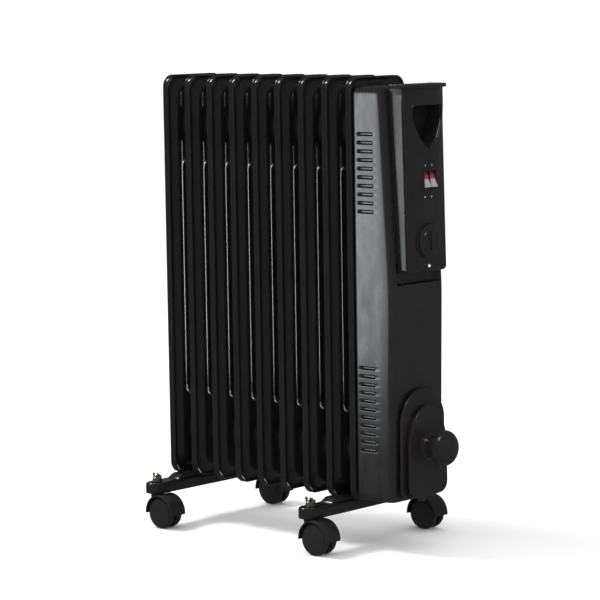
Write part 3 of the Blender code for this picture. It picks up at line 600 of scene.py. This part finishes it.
def cover_plan(height, inset, pressed=True):
    """The cover's outline seen from above: a U, open at the back."""
    half = COVER_HALF - inset
    front = soft_front(min(height, COVER_SHOULDER)) - inset
    slope = (soft_front(COVER_SHOULDER) - soft_front(COVER_HIGH)) / COVER_TOP_ROUND
    front -= max(0.0, height - COVER_SHOULDER) * slope
    corner_x = front - COVER_CORNER
    stations = [COVER_BACK, COVER_BACK + 2.5 * MM]
    ramp = [LOUVRE_MIDDLE - LOUVRE_HALF + LOUVRE_RAMP * k / 4 for k in range(5)]
    stations += ramp
    stations += [LOUVRE_MIDDLE - 4 * MM, LOUVRE_MIDDLE, LOUVRE_MIDDLE + 4 * MM]
    stations += [2 * LOUVRE_MIDDLE - x for x in reversed(ramp)]
    stations = [min(x, corner_x) if x > LOUVRE_MIDDLE else x for x in stations]
    side = [(x, -half + (louvre_depth(x, height) if pressed else 0.0)) for x in stations]
    side.append(((stations[-1] + corner_x) / 2, -half))
    side += arc((corner_x, -half + COVER_CORNER), COVER_CORNER, -90, 0, 8)
    reach = half - COVER_CORNER
    columns = 22
    dip = smoothstep((height - LEDGE_HEIGHT + 0.5 * MM) / (1.6 * MM))
    dip *= 1 - smoothstep((height - LEDGE_TOP) / (4 * MM))
    middle = []
    for column in range(1, columns):
        y = -reach + 2 * reach * column / columns
        edge = smoothstep((LEDGE_HALF - abs(y)) / (3.5 * MM))
        middle.append((front - LEDGE_DEPTH * dip * edge, y))
    mirrored = [(x, -y) for x, y in reversed(side)]
    return [(x, y, height) for x, y in side + middle + mirrored]


def make_end_cover():
    foot = quarter_round(COVER_FOOT_ROUND, 3)[:-1]
    top = quarter_round(COVER_TOP_ROUND, 8)[1:]
    rings = [cover_plan(COVER_LOW + rise, inset, False) for inset, rise in foot]
    rings += [cover_plan(level, 0.0) for level in cover_levels()]
    rings += [cover_plan(COVER_HIGH - drop, inset, False) for drop, inset in top]
    bm = bmesh.new()
    made = add_rings(bm, rings, closed=False)
    bm.faces.new(reversed(made[0]))
    bm.faces.new(made[-1])
    bmesh.ops.recalc_face_normals(bm, faces=bm.faces)
    slits = []
    for face in bm.faces:
        depths = [COVER_HALF - abs(v.co.y) for v in face.verts]
        heights = [v.co.z for v in face.verts]
        if len(depths) == 4 and max(heights) - min(heights) < LOUVRE_SLIT * 1.5:
            if sum(depth > LOUVRE_DEPTH * 0.3 for depth in depths) >= 2 and min(depths) < 1e-6:
                slits.append(face)
    bmesh.ops.delete(bm, geom=slits, context="FACES_ONLY")
    cover = object_from(bm, "end_cover_skin", 38, outward=False)
    solidify(cover, 1.0 * MM)
    SHELLS.objects.link(cover)
    return dress(cover, SATIN, ["end_cover"])


# -------------------- control housing and handle

PANEL_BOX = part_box("control_housing")
PANEL_HALF = PANEL_BOX[1].y
PANEL_LOW, PANEL_HIGH = PANEL_BOX[0].z, PANEL_BOX[1].z
PANEL_BULGE = 11.5 * MM
PANEL_EDGE = PANEL_BOX[1].x - PANEL_BULGE
PANEL_FOOT_BULGE = 1.0 * MM
PANEL_FOOT_OUT = 5.5 * MM
PANEL_CORNER = 3.0 * MM
PANEL_FOOT_ROUND = 5.0 * MM
FACET_DEPTH = 1.1 * MM
FACET_TIP = 0.436
GRIP_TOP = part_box("handle_pocket")[1].z
GRIP_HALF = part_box("handle_pocket")[1].y
GRIP_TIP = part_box("handle_pocket")[0].z
GRIP_SHOULDER = GRIP_TOP - 19 * MM
SWITCH_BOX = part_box("switch_frame")
KNOB_HEIGHT = box_middle("thermostat_knob").z
LAMP_HEIGHT = box_middle("indicator_lamp").z


def panel_edge(z):
    """The X of the front's side edges, further out towards the panel's foot."""
    return PANEL_EDGE + PANEL_FOOT_OUT * (PANEL_HIGH - z) / (PANEL_HIGH - PANEL_LOW)


def panel_front(y, z):
    """The X of the front: bowed at the top, nearly flat at the foot, a shield round the handle proud."""
    bulge = PANEL_BULGE + (PANEL_FOOT_BULGE - PANEL_BULGE) * (PANEL_HIGH - z) / (PANEL_HIGH - PANEL_LOW)
    x = panel_edge(z) + bulge * (1 - (y / PANEL_HALF) ** 2)
    share = min(max((z - FACET_TIP) / (PANEL_HIGH - FACET_TIP), 0.0), 1.0)
    half = 9 * MM + (PANEL_HALF + 4 * MM - 9 * MM) * share ** 0.85
    inside = smoothstep((half - abs(y)) / (2.5 * MM)) * smoothstep((z - FACET_TIP) / (3 * MM))
    return x - FACET_DEPTH * (1 - inside)


def grip_outline(inset=0.0):
    """The shield-shaped carry-handle opening in YZ."""
    half, top, tip = GRIP_HALF - inset, GRIP_TOP - inset, GRIP_TIP + inset
    points = [(half, top), (-half, top), (-half, GRIP_SHOULDER), (-half * 0.62, GRIP_SHOULDER - 22 * MM)]
    points += [(0.0, tip - 4 * MM), (half * 0.62, GRIP_SHOULDER - 22 * MM), (half, GRIP_SHOULDER)]
    return rounded_polygon(points, 7 * MM, 6)


def panel_plan(height, inset, back):
    half = PANEL_HALF - inset
    edge_x = panel_edge(height) - PANEL_CORNER - inset
    points = [(back, -half), (edge_x, -half)]
    columns = 40
    for column in range(columns + 1):
        share = 2 * column / columns - 1
        y = math.sin(share * math.pi / 2) * half
        edge = min((half - abs(y)) / PANEL_CORNER, 1.0)
        round_off = PANEL_CORNER * (1 - math.sqrt(max(0.0, 1 - (1 - edge) ** 2)))
        points.append((panel_front(y, height) - inset - round_off, y))
    points += [(edge_x, half), (back, half)]
    return [(x, y, height) for x, y in points]


def cut_away(piece, outline, depths):
    """Cuts a prism out of a piece."""
    bm = bmesh.new()
    add_prism(bm, outline, depths)
    cutter = object_from(bm, "cutter")
    modifier = piece.modifiers.new("cut", "BOOLEAN")
    modifier.operation = "DIFFERENCE"
    modifier.solver = "EXACT"
    modifier.object = cutter
    graph = bpy.context.evaluated_depsgraph_get()
    graph.update()
    mesh = bpy.data.meshes.new_from_object(piece.evaluated_get(graph))
    piece.modifiers.clear()
    piece.data = mesh
    bpy.data.objects.remove(cutter)


def make_control_housing():
    back = COVER_BACK + 30 * MM
    foot = quarter_round(PANEL_FOOT_ROUND, 5)
    rings = [panel_plan(PANEL_LOW + rise, inset, back) for inset, rise in foot]
    rows = 76
    start = PANEL_LOW + PANEL_FOOT_ROUND
    for row in range(1, rows + 1):
        rings.append(panel_plan(start + (PANEL_HIGH - start) * row / rows, 0.0, back))
    bm = bmesh.new()
    add_rings(bm, rings, caps=(True, True))
    housing = object_from(bm, "control_housing_shell", 35)
    cut_away(housing, grip_outline(), (PANEL_EDGE - 18 * MM, PANEL_BOX[1].x + 10 * MM))
    low, high = SWITCH_BOX
    window = rounded_box((low.y, low.z), (high.y, high.z), 1 * MM, 3)
    cut_away(housing, window, (low.x + 4 * MM, high.x + 10 * MM))
    shade(housing, 35)
    SHELLS.objects.link(housing)
    return dress(housing, PLASTIC, ["control_housing"])


def make_grip_lip():
    """The rounded lip round the handle opening, lying on the bowed front."""
    path = [(panel_front(y, z) - 0.1 * MM, y, z) for y, z in grip_outline(-0.2 * MM)]
    bm = bmesh.new()
    add_tube(bm, path, 1.0 * MM, 12, closed=True)
    lip = object_from(bm, "handle_opening_lip", 60)
    return dress(lip, PLASTIC)


def make_handle_pocket():
    """A smooth cup behind the opening."""
    outline = grip_outline(0.3 * MM)
    middle = GRIP_TOP - 16 * MM
    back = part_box("handle_pocket")[0].x + 1.5 * MM
    rings = []
    for height, inset in quarter_round(1.0, 12):
        depth = 1 - height
        size = 1 - 0.9 * inset ** 1.6
        ring = []
        for y, z in outline:
            front = panel_front(y, z) - 0.6 * MM
            ring.append((front + (back - front) * depth, y * size, middle + (z - middle) * size))
        rings.append(ring)
    bm = bmesh.new()
    add_rings(bm, rings, caps=(False, True))
    pocket = object_from(bm, "handle_pocket_cup", 50)
    pocket.data.flip_normals()
    solidify(pocket, 1.2 * MM)
    return dress(pocket, PLASTIC, ["handle_pocket"])


def make_handle_cap():
    """The flat lip on top of the housing, bowed like the front and overhanging it."""
    low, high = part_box("handle_cap")
    half = high.y
    edge = PANEL_EDGE + 3 * MM
    outline = [(low.x, -half), (edge - 4 * MM, -half)]
    columns = 20
    for column in range(columns + 1):
        y = (2 * column / columns - 1) * (half - 0.6 * MM)
        outline.append((edge + PANEL_BULGE * (1 - (y / half) ** 2), y))
    outline += [(edge - 4 * MM, half), (low.x, half)]
    bm = bmesh.new()
    add_solid_outline(bm, outline, lambda x, y, z: (x, y, z), low.z - 0.2 * MM, high.z, 1.1 * MM, 3)
    cap = object_from(bm, "handle_cap_lip", 40)
    return dress(cap, PLASTIC, ["handle_cap"])


# -------------------- switches, knob and lamp


def make_switch_frame():
    """The bezel: a rounded frame with two deep wells and a bar between them."""
    low, high = SWITCH_BOX
    middle = (low.z + high.z) / 2
    front = high.x - 0.2 * MM
    outline = rounded_box((low.y, low.z), (high.y, high.z), 1.6 * MM, 4)
    face = [(y * 0.95, middle + (z - middle) * 0.95) for y, z in outline]
    inner = [(y * 0.86, middle + (z - middle) * 0.84) for y, z in outline]
    levels = [(outline, low.x + 3 * MM, 1.0), (outline, front - 0.9 * MM, 1.0)]
    levels += [(outline, front - 0.2 * MM, 0.985), (face, front, 1.0), (inner, front - 0.1 * MM, 1.01)]
    levels += [(inner, front - 0.9 * MM, 1.0), (inner, front - 9 * MM, 1.0)]
    rings = [[(x, y * widen, z) for y, z in points] for points, x, widen in levels]
    bm = bmesh.new()
    add_rings(bm, rings, caps=(True, True))
    half, bottom, top = 0.55 * MM, low.z + 2 * MM, high.z - 2 * MM
    bar = [(-half, bottom), (half, bottom), (half, top), (-half, top)]
    add_prism(bm, bar, (front - 9 * MM, front - 0.8 * MM))
    made = object_from(bm, "switch_bezel", 30)
    return dress(made, MATT, ["switch_frame"])


ROCKER_PROFILE = [(-6.4, -0.4), (-6.4, 0.4), (-1.4, 9.7), (0.2, 9.7), (1.6, 4.6), (2.4, 0.0)]
ROCKER_PROFILE += [(4.4, -4.4), (7.0, -8.8), (6.1, -9.7), (0.6, -9.7)]


def make_rockers():
    for number in (1, 2):
        low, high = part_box(f"rocker_{number}")
        middle = (low.y + high.y) / 2
        half = (high.y - low.y) / 2
        pivot = (SWITCH_BOX[1].x - 4.2 * MM, (low.z + high.z) / 2)
        corners = [(pivot[0] + x * MM, pivot[1] + z * MM) for x, z in ROCKER_PROFILE]
        outline = rounded_polygon(corners, 1.4 * MM, 4)
        bm = bmesh.new()
        add_solid_outline(
            bm, outline, lambda x, z, y: (x, y, z), middle - half, middle + half, 0.5 * MM, 3
        )
        rocker = object_from(bm, f"rocker_{number}_key", 40)
        dress(rocker, ROCKER_RED_WITH_PAINTED_LIGHT, [f"rocker_{number}"], f"rocker_{number}")


def make_knob():
    """A flat dial with a low grip bar across it, on a round seat that stands on the panel."""
    low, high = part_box("thermostat_knob")
    base = low.x
    radius = high.y / MM
    profile = [(0.0, 0.0), (radius - 0.3, 0.0), (radius, 0.4), (radius, 1.0), (radius - 0.5, 1.7)]
    profile += [(radius - 1.4, 2.1), (16.6, 2.3), (15.8, 2.6), (15.3, 3.6), (14.7, 4.2), (13.6, 4.5)]
    profile += [(12.6, 4.3), (11.8, 3.9), (0.0, 3.8)]
    bm = bmesh.new()
    add_lathe(bm, profile_mm(profile), (base, 0, KNOB_HEIGHT), (1, 0, 0), 72)
    half, reach = 2.4 * MM, 12.0 * MM
    ridge = rounded_box((-half, KNOB_HEIGHT - reach), (half, KNOB_HEIGHT + reach), 2.2 * MM, 5)
    add_solid_outline(bm, ridge, facing_x, base + 2.0 * MM, high.x, 1.2 * MM, 4)
    knob = object_from(bm, "thermostat_knob_dial", 35)
    dress(knob, PLASTIC, ["thermostat_knob"], "thermostat_knob")
    profile = [(21.9, -9.0), (22.6, -9.0), (22.6, -0.9), (22.3, -0.5), (21.9, -0.3), (21.5, -0.5)]
    profile += [(21.5, -1.6), (0.0, -1.6)]
    seat = lathe("dial_seat", profile_mm(profile), (base, 0, KNOB_HEIGHT), (1, 0, 0), 72, 35)
    dress(seat, PLASTIC)


# Name, height above the floor, half width and half height of each kind of mark.
MARKS = (("dash", 0.4825, 0.5 * MM, 1.3 * MM), ("dot", 0.4435, 1.0 * MM, 1.1 * MM))


def make_panel_marks():
    """Plain printed dashes over the rockers and dots under them."""
    rocker_low, rocker_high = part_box("rocker_2")
    for index, side in enumerate((-1, 1)):
        y = side * (rocker_low.y + rocker_high.y) / 2 - 2.5 * MM
        for label, height, half, half_height in MARKS:
            low, high = (y - half, height - half_height), (y + half, height + half_height)
            outline = rounded_box(low, high, 0.4 * MM, 3)
            front = panel_front(y, height)
            bm = bmesh.new()
            add_solid_outline(bm, outline, facing_x, front - 0.4 * MM, front + 0.12 * MM, 0.05 * MM, 2)
            mark = object_from(bm, f"panel_{label}_{index + 1}", 40)
            dress(mark, GREY_MARK)


def make_lamp():
    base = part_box("indicator_lamp")[1].x - 1.6 * MM
    profile = [(0.0, 1.7), (0.7, 1.6), (1.4, 1.15), (1.8, 0.4), (1.9, -0.4), (1.9, -6.0), (0.0, -6.0)]
    lamp = lathe("pilot_lamp_lens", profile_mm(profile), (base, 0, LAMP_HEIGHT), (1, 0, 0), 32)
    dress(lamp, LENS, ["indicator_lamp"])
    profile = [(2.0, -1.0), (3.0, -1.0), (3.0, 0.0), (2.6, 0.5), (2.1, 0.5), (2.0, 0.2)]
    ring = lathe("pilot_lamp_bezel", profile_mm(profile), (base - 0.6 * MM, 0, LAMP_HEIGHT), (1, 0, 0), 32)
    dress(ring, PLASTIC)


# -------------------- cord winder

WINDER_CENTRE = 0.132


def arch(half, low, high, shoulder, corner, steps=20):
    """Straight sides, an elliptical top and round lower corners, in YZ."""
    points = arc((half - corner, low + corner), corner, -90, 0, 6)
    for step in range(1, steps):
        angle = math.pi * step / steps
        points.append((half * math.cos(angle), shoulder + (high - shoulder) * math.sin(angle)))
    points += arc((-half + corner, low + corner), corner, 180, 270, 6)
    return points


def make_cord_winder():
    low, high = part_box("cord_winder_base")
    bm = bmesh.new()
    outline = arch(high.y, low.z, high.z, 0.160, 12 * MM)
    add_solid_outline(bm, outline, facing_x, low.x, low.x + 4.2 * MM, 2.0 * MM, 5)
    drum = arch(high.y - 11 * MM, low.z + 9 * MM, high.z - 26 * MM, 0.140, 12 * MM)
    add_solid_outline(bm, drum, facing_x, low.x + 1 * MM, high.x, 1.2 * MM, 4)
    base = object_from(bm, "cord_winder_back_plate", 35)
    dress(base, PLASTIC, ["cord_winder_base"])

    low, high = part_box("cord_winder_spool")
    bm = bmesh.new()
    outline = arch(high.y, low.z, high.z, 0.125, 14 * MM)
    front = low.x + 3.2 * MM
    add_solid_outline(bm, outline, facing_x, low.x, front, 1.5 * MM, 5)
    reach = (high.x - front) / MM
    dome_radius, dome_height = 22.5, 14.6
    rim = reach - dome_height
    profile = [(0.0, -1.0), (17.0, -1.0), (16.5, 0.6), (14.6, 2.0), (13.4, 4.0), (13.0, 8.0)]
    profile += [(13.0, rim - 4.4), (14.5, rim - 3.4), (20.5, rim - 2.6), (22.1, rim - 1.6)]
    profile.append((dome_radius, rim))
    profile += [(dome_radius * y, rim + dome_height * x) for y, x in arc((0, 0), 1.0, 0, 90, 12)[1:]]
    add_lathe(bm, profile_mm(profile), (front, 0, WINDER_CENTRE), (1, 0, 0), 64)
    spool = object_from(bm, "cord_winder_front", 35)
    dress(spool, PLASTIC, ["cord_winder_spool"])


def make_gland():
    middle = box_middle("cord_gland")
    centre = (middle.x, middle.y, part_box("cord_gland")[0].z)
    profile = [(0.0, 0.0), (2.6, 0.0), (4.2, 0.3), (5.2, 1.4), (5.6, 4.0), (6.2, 6.5), (7.4, 8.6)]
    profile += [(7.5, 9.6), (5.2, 9.8), (5.2, 12.0), (6.4, 12.2), (6.4, 15.6), (0.0, 16.0)]
    gland = lathe("cord_gland_moulding", profile_mm(profile), centre, (0, 0, 1), 40)
    dress(gland, RUBBER, ["cord_gland"])


# -------------------- feet and fasteners


def stadium(half_width, half_length):
    reach = half_length - half_width
    return arc((0, reach), half_width, 0, 180, 14) + arc((0, -reach), half_width, 180, 360, 14)


BEAM_TOP = 0.0595
SADDLE_HALF_WIDTH = 10.5 * MM
SADDLE_REACH = 66.0 * MM
SADDLE_FOOT = 78.0 * MM


def make_feet():
    """A channel-shaped beam with eased edges, and its raised middle between the fins."""
    ease = 3.2 * MM
    shoulder = [(inset, BEAM_TOP - drop) for drop, inset in quarter_round(ease, 6)]
    for end in ENDS:
        low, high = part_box(f"foot_{end}")
        x = (low.x + high.x) / 2
        half_width, half_length = (high.x - low.x) / 2, high.y
        levels = [(0.0, low.z), (0.0, low.z + 4 * MM), *shoulder, (ease + 2.5 * MM, BEAM_TOP)]
        rings = []
        for inset, height in levels:
            flat = stadium(half_width - inset, half_length - inset)
            rings.append([(x + px, py, height) for px, py in flat])
        bm = bmesh.new()
        add_rings(bm, rings, caps=(False, True))
        foot = object_from(bm, f"foot_{end}_beam", 40)
        solidify(foot, 1.6 * MM)
        slope = [(-SADDLE_FOOT, BEAM_TOP - 1 * MM), (SADDLE_FOOT, BEAM_TOP - 1 * MM)]
        slope += [(SADDLE_REACH, high.z), (-SADDLE_REACH, high.z)]
        outline = rounded_polygon(slope, 12 * MM, 8)
        half = SADDLE_HALF_WIDTH
        bm = bmesh.new()
        add_solid_outline(bm, outline, lambda y, z, d: (x + d, y, z), -half, half, 1.5 * MM, 4)
        saddle = object_from(bm, f"foot_{end}_raised_middle", 40)
        dress(saddle, ENAMEL)
        dress(foot, ENAMEL, [f"foot_{end}"])


def add_hex_nut(bm, centre, across, height):
    """A hexagonal nut standing on a centre, with chamfered corners."""
    rings = []
    corner = across / math.sqrt(3)
    for grow, level in ((0.86, 0.0), (1.0, 0.12), (1.0, 0.88), (0.86, 1.0)):
        ring = []
        for index in range(24):
            angle = 2 * math.pi * index / 24
            facet = (angle + math.pi / 6) % (math.pi / 3) - math.pi / 6
            radius = min(across / 2 / math.cos(facet), corner * grow * 1.02)
            offset = Vector((radius * math.cos(angle), radius * math.sin(angle), level * height))
            ring.append(Vector(centre) + offset)
        rings.append(ring)
    add_rings(bm, rings, caps=(True, True))


def make_u_bolts():
    for end in ENDS:
        low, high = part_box(f"u_bolt_{end}")
        x = (low.x + high.x) / 2
        radius = (high.x - low.x) / 2
        bend = high.y - radius
        centre = high.z - radius - bend
        path = [(x, bend, low.z + 0.4 * MM), (x, bend, low.z + 30 * MM)]
        path += [(x, y, z) for y, z in arc((0, centre), bend, 0, 180, 28)]
        path += [(x, -bend, low.z + 30 * MM), (x, -bend, low.z + 0.4 * MM)]
        bm = bmesh.new()
        add_tube(bm, path, radius, 20)
        bolt = object_from(bm, f"u_bolt_{end}_rod", 40)
        dress(bolt, ZINC, [f"u_bolt_{end}"])
        for side in SIDES:
            node = f"u_bolt_{end}_nut_{side}"
            nut_low, nut_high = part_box(node)
            middle = box_middle(node)
            bm = bmesh.new()
            add_hex_nut(bm, (middle.x, middle.y, nut_low.z), 8.0 * MM, nut_high.z - nut_low.z)
            dress(object_from(bm, f"{node}_hex", 25), ZINC, [node])


THREAD_END = 58.2 * MM
THREAD_PITCH = 0.7 * MM


def make_stem(name, node):
    """A caster stem: threaded above its collar, plain below."""
    low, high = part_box(node)
    x, y = (low.x + high.x) / 2, (low.y + high.y) / 2
    collar = (high.x - low.x) / 2 / MM
    bottom, top = low.z / MM, high.z / MM
    profile = [(0.0, top), (2.6, top), (3.4, top - 0.8)]
    height = high.z - 1.0 * MM
    while height > THREAD_END:
        profile += [(3.95, height / MM - 0.3), (3.45, height / MM - 0.65)]
        height -= THREAD_PITCH
    profile += [(3.6, 57.5), (collar - 0.3, 57.2), (collar, 56.8), (collar, 48.4), (collar - 0.3, 48.0)]
    profile += [(3.9, 48.0), (3.9, bottom + 0.4), (3.4, bottom), (0.0, bottom)]
    stem = lathe(name, profile_mm(profile), (x, y, 0), (0, 0, 1), 28, 50)
    return dress(stem, ZINC, [node])


def make_wing_nut(name, node):
    """A wing nut: a tapered boss with two rounded wings swept out and up."""
    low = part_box(node)[0]
    x, y, _ = box_middle(node)
    bm = bmesh.new()
    boss = [(4.1, 0.0), (6.4, 0.0), (6.8, 0.5), (6.7, 1.6), (5.9, 4.2), (5.6, 5.3), (5.0, 5.8), (4.1, 5.8)]
    add_lathe(bm, profile_mm(boss), (x, y, low.z), (0, 0, 1), 32)
    turn = Matrix.Rotation(math.radians(-20), 3, "Z")
    wing = [(3.8, 0.8), (7.2, 0.6), (10.2, 3.0), (12.9, 7.4), (12.2, 10.4), (9.6, 10.4), (7.4, 7.4)]
    wing.append((3.8, 4.9))
    outline = rounded_polygon(profile_mm(wing), 2.4 * MM, 5)
    for side in (-1, 1):

        def place(across, up, thick, side=side):
            offset = turn @ Vector((side * across, thick, 0))
            return (x + offset.x, y + offset.y, low.z + up)

        add_solid_outline(bm, outline, place, -1.1 * MM, 1.1 * MM, 0.7 * MM, 3)
    nut = object_from(bm, name, 40)
    return dress(nut, ZINC, [node])


# -------------------- casters

WHEEL_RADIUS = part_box("caster_wheel_front_left_outer")[1].z / 2


def add_hood(bm, x, y, wheel_x, width):
    """The hood: a half drum over both wheels with rounded edges, a middle web and a stem boss."""
    outer = 24.2 * MM
    inner = WHEEL_RADIUS + 1.2 * MM
    section = [(inner, -width), (outer - 1.6 * MM, -width), (outer - 0.5 * MM, -width + 0.45 * MM)]
    section += [(outer, -width + 1.6 * MM), (outer, width - 1.6 * MM), (outer - 0.5 * MM, width - 0.45 * MM)]
    section += [(outer - 1.6 * MM, width), (inner, width)]
    rings = []
    for along, up in arc((0, 0), 1.0, -4, 184, 36):
        rings.append([(wheel_x + r * along, y + across, WHEEL_RADIUS + r * up) for r, across in section])
    add_rings(bm, rings, caps=(True, True))
    web = arc((wheel_x, WHEEL_RADIUS), outer - 1.5 * MM, 0, 180, 24)
    add_solid_outline(bm, web, lambda px, pz, py: (px, y + py, pz), -2.2 * MM, 2.2 * MM, 0.4 * MM, 2)
    boss = profile_mm([(4.2, 0.0), (7.4, 0.0), (8.4, 1.2), (8.8, 6.0), (8.2, 9.4), (7.6, 10.2), (4.2, 10.2)])
    add_lathe(bm, boss, (x, y, 0.0370), (0, 0, 1), 32)


def make_wheel(name, node, body, axle, facing):
    """A wheel disc: rounded tread, and a domed outer face with a step near its rim."""
    low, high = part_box(node)
    outer_y = high.y if facing > 0 else low.y
    width = high.y - low.y
    rim, back = WHEEL_RADIUS / MM, -width / MM
    profile = [(0.0, 0.28), (4.0, 0.22), (8.0, 0.02), (11.5, -0.35), (14.5, -0.95), (16.8, -1.75)]
    profile += [(18.2, -2.5), (18.7, -2.95), (18.95, -3.3), (19.2, -3.35), (19.7, -3.75)]
    profile += [(rim - 0.15, -5.2), (rim, -6.4), (rim, back + 1.2), (rim - 0.9, back)]
    profile += [(6.0, back), (0.0, back)]
    place = (axle.x, outer_y - facing * 0.3 * MM, axle.z)
    wheel = lathe(name, profile_mm(profile), place, (0, facing, 0), 64, 45)
    return dress(wheel, MATT, [node], body)


def make_casters():
    for label in CORNERS:
        make_stem(f"caster_stem_{label}_threaded", f"caster_stem_{label}")
        make_wing_nut(f"wing_nut_{label}_cast", f"wing_nut_{label}")
        stem = box_middle(f"caster_stem_{label}")
        axle = box_middle(f"caster_axle_{label}")
        hood_low, hood_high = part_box(f"caster_hood_{label}")
        bm = bmesh.new()
        add_hood(bm, stem.x, stem.y, axle.x, (hood_high.y - hood_low.y) / 2)
        hood = object_from(bm, f"caster_hood_{label}_shell", 35)
        dress(hood, MATT, [f"caster_hood_{label}"], f"caster_{label}")
        for wheel in ("outer", "inner"):
            node = f"caster_wheel_{label}_{wheel}"
            facing = 1 if box_middle(node).y > stem.y else -1
            make_wheel(f"{node}_disc", node, f"wheels_{label}", axle, facing)


# -------------------- pieces kept from the CAD


def keep_node(node, material):
    piece = frame["nodes"][node]
    piece.data.materials.clear()
    piece.data.materials.append(material)


def keep_inner_pieces():
    keep_node("heating_element", COPPER)
    keep_node("element_gasket", RUBBER)
    keep_node("oil_filler_plug", ZINC)
    keep_node("heat_shield", STEEL)
    for node in ("thermal_cutout", "terminal_block", "thermostat"):
        keep_node(node, CERAMIC)
    for label in CORNERS:
        keep_node(f"caster_axle_{label}", STEEL)


# -------------------- studio

DETAIL_NAMES = ("handle_", "thermostat_knob_", "dial_", "cord_winder_")
DETAIL_NAMES += ("caster_wheel_", "caster_hood_", "switch_")


def add_area(name, place, target, size, power, lit=None, spared=None):
    """A rectangular light; it lights one collection alone, or all but one, where either is given."""
    light = bpy.data.lights.new(name, "AREA")
    light.shape = "RECTANGLE"
    light.size, light.size_y = size
    light.energy = power
    lamp = add_object(name, light)
    lamp.location = place
    lamp.rotation_euler = (Vector(target) - Vector(place)).to_track_quat("-Z", "Y").to_euler()
    if lit is not None:
        lamp.light_linking.receiver_collection = lit
    if spared is not None:
        receivers = bpy.data.collections.new(f"{name}_receivers")
        for piece in spared.objects:
            receivers.objects.link(piece)
        for member in receivers.collection_objects:
            member.light_linking.link_state = "EXCLUDE"
        lamp.light_linking.receiver_collection = receivers
    return lamp


def make_studio():
    scene = bpy.context.scene
    scene.view_settings.view_transform = "Standard"
    bm = bmesh.new()
    bmesh.ops.create_grid(bm, x_segments=8, y_segments=8, size=150.0)
    floor = object_from(bm, "floor", outward=False)
    material, tree, shader = start_material("pale_floor", (0.9, 0.9, 0.9), 0.8)
    patches = add_range(tree, add_noise(tree, 3.0, 3.0), 0.0, 1.0)
    tone = add_blend(tree, patches, (0.9, 0.9, 0.9), (0.92, 0.92, 0.92))
    set_inputs(tree, shader, Base_Color=tone, Specular_IOR_Level=0.0)
    floor.data.materials.append(material)
    floor.visible_glossy = False

    # The sky lights the floor and the object, but shows only dimly in reflections.
    world = bpy.data.worlds.new("studio")
    scene.world = world
    world.use_nodes = True
    tree = world.node_tree
    glossy = add_node(tree, "ShaderNodeLightPath").outputs["Is Glossy Ray"]
    sky = add_blend(tree, glossy, (1.2, 1.2, 1.2), (0.12, 0.12, 0.125))
    set_inputs(tree, tree.nodes["Background"], Color=sky, Strength=1.0)

    softbox = add_area(
        "side_softbox", (-0.36, -0.47, 0.43), (0.13, -0.05, 0.43), (0.30, 0.59), power=3.1, lit=SHELLS
    )
    softbox.data.color = (0.93, 0.97, 1.0)
    add_area(
        "top_left_light", (-1.30, -0.50, 1.85), (0, 0, 0.5), (0.55, 0.5), power=34, spared=SHELLS
    )
    add_area(
        "upper_front_light", (0.59, -0.80, 1.88), (0.19, 0, 0.45), (0.45, 0.45), power=9, lit=DETAILS
    )
    add_area("back_strip", (0.05, 1.50, 0.23), (0.05, 0.0, 0.35), (0.5, 0.5), power=6, lit=FINS)


def make_camera():
    camera_data = bpy.data.cameras.new("camera")
    camera_data.lens = 156.2
    camera_data.sensor_width = 36.0
    camera = add_object("camera", camera_data)
    turn, pitch, roll = math.radians(42.52), math.radians(6.624), math.radians(-0.883)
    forward = Vector((-math.sin(turn) * math.cos(pitch), math.cos(turn) * math.cos(pitch), -math.sin(pitch)))
    across = Vector((math.cos(turn), math.sin(turn), 0))
    up = across.cross(forward)
    right = across * math.cos(roll) + up * math.sin(roll)
    top = up * math.cos(roll) - across * math.sin(roll)
    basis = Matrix((right, top, -forward)).transposed().to_4x4()
    camera.matrix_world = Matrix.Translation((2.2320, -2.4640, 0.6890)) @ basis
    camera_data.clip_end = 400.0
    bpy.context.scene.camera = camera


make_camera()
make_fins()
make_end_cover()
make_control_housing()
make_grip_lip()
make_handle_pocket()
make_handle_cap()
make_switch_frame()
make_rockers()
make_knob()
make_lamp()
make_panel_marks()
make_cord_winder()
make_gland()
make_feet()
make_u_bolts()
make_casters()
keep_inner_pieces()
for detail in bpy.context.scene.objects:
    if detail.name.startswith(DETAIL_NAMES):
        DETAILS.objects.link(detail)
make_studio()
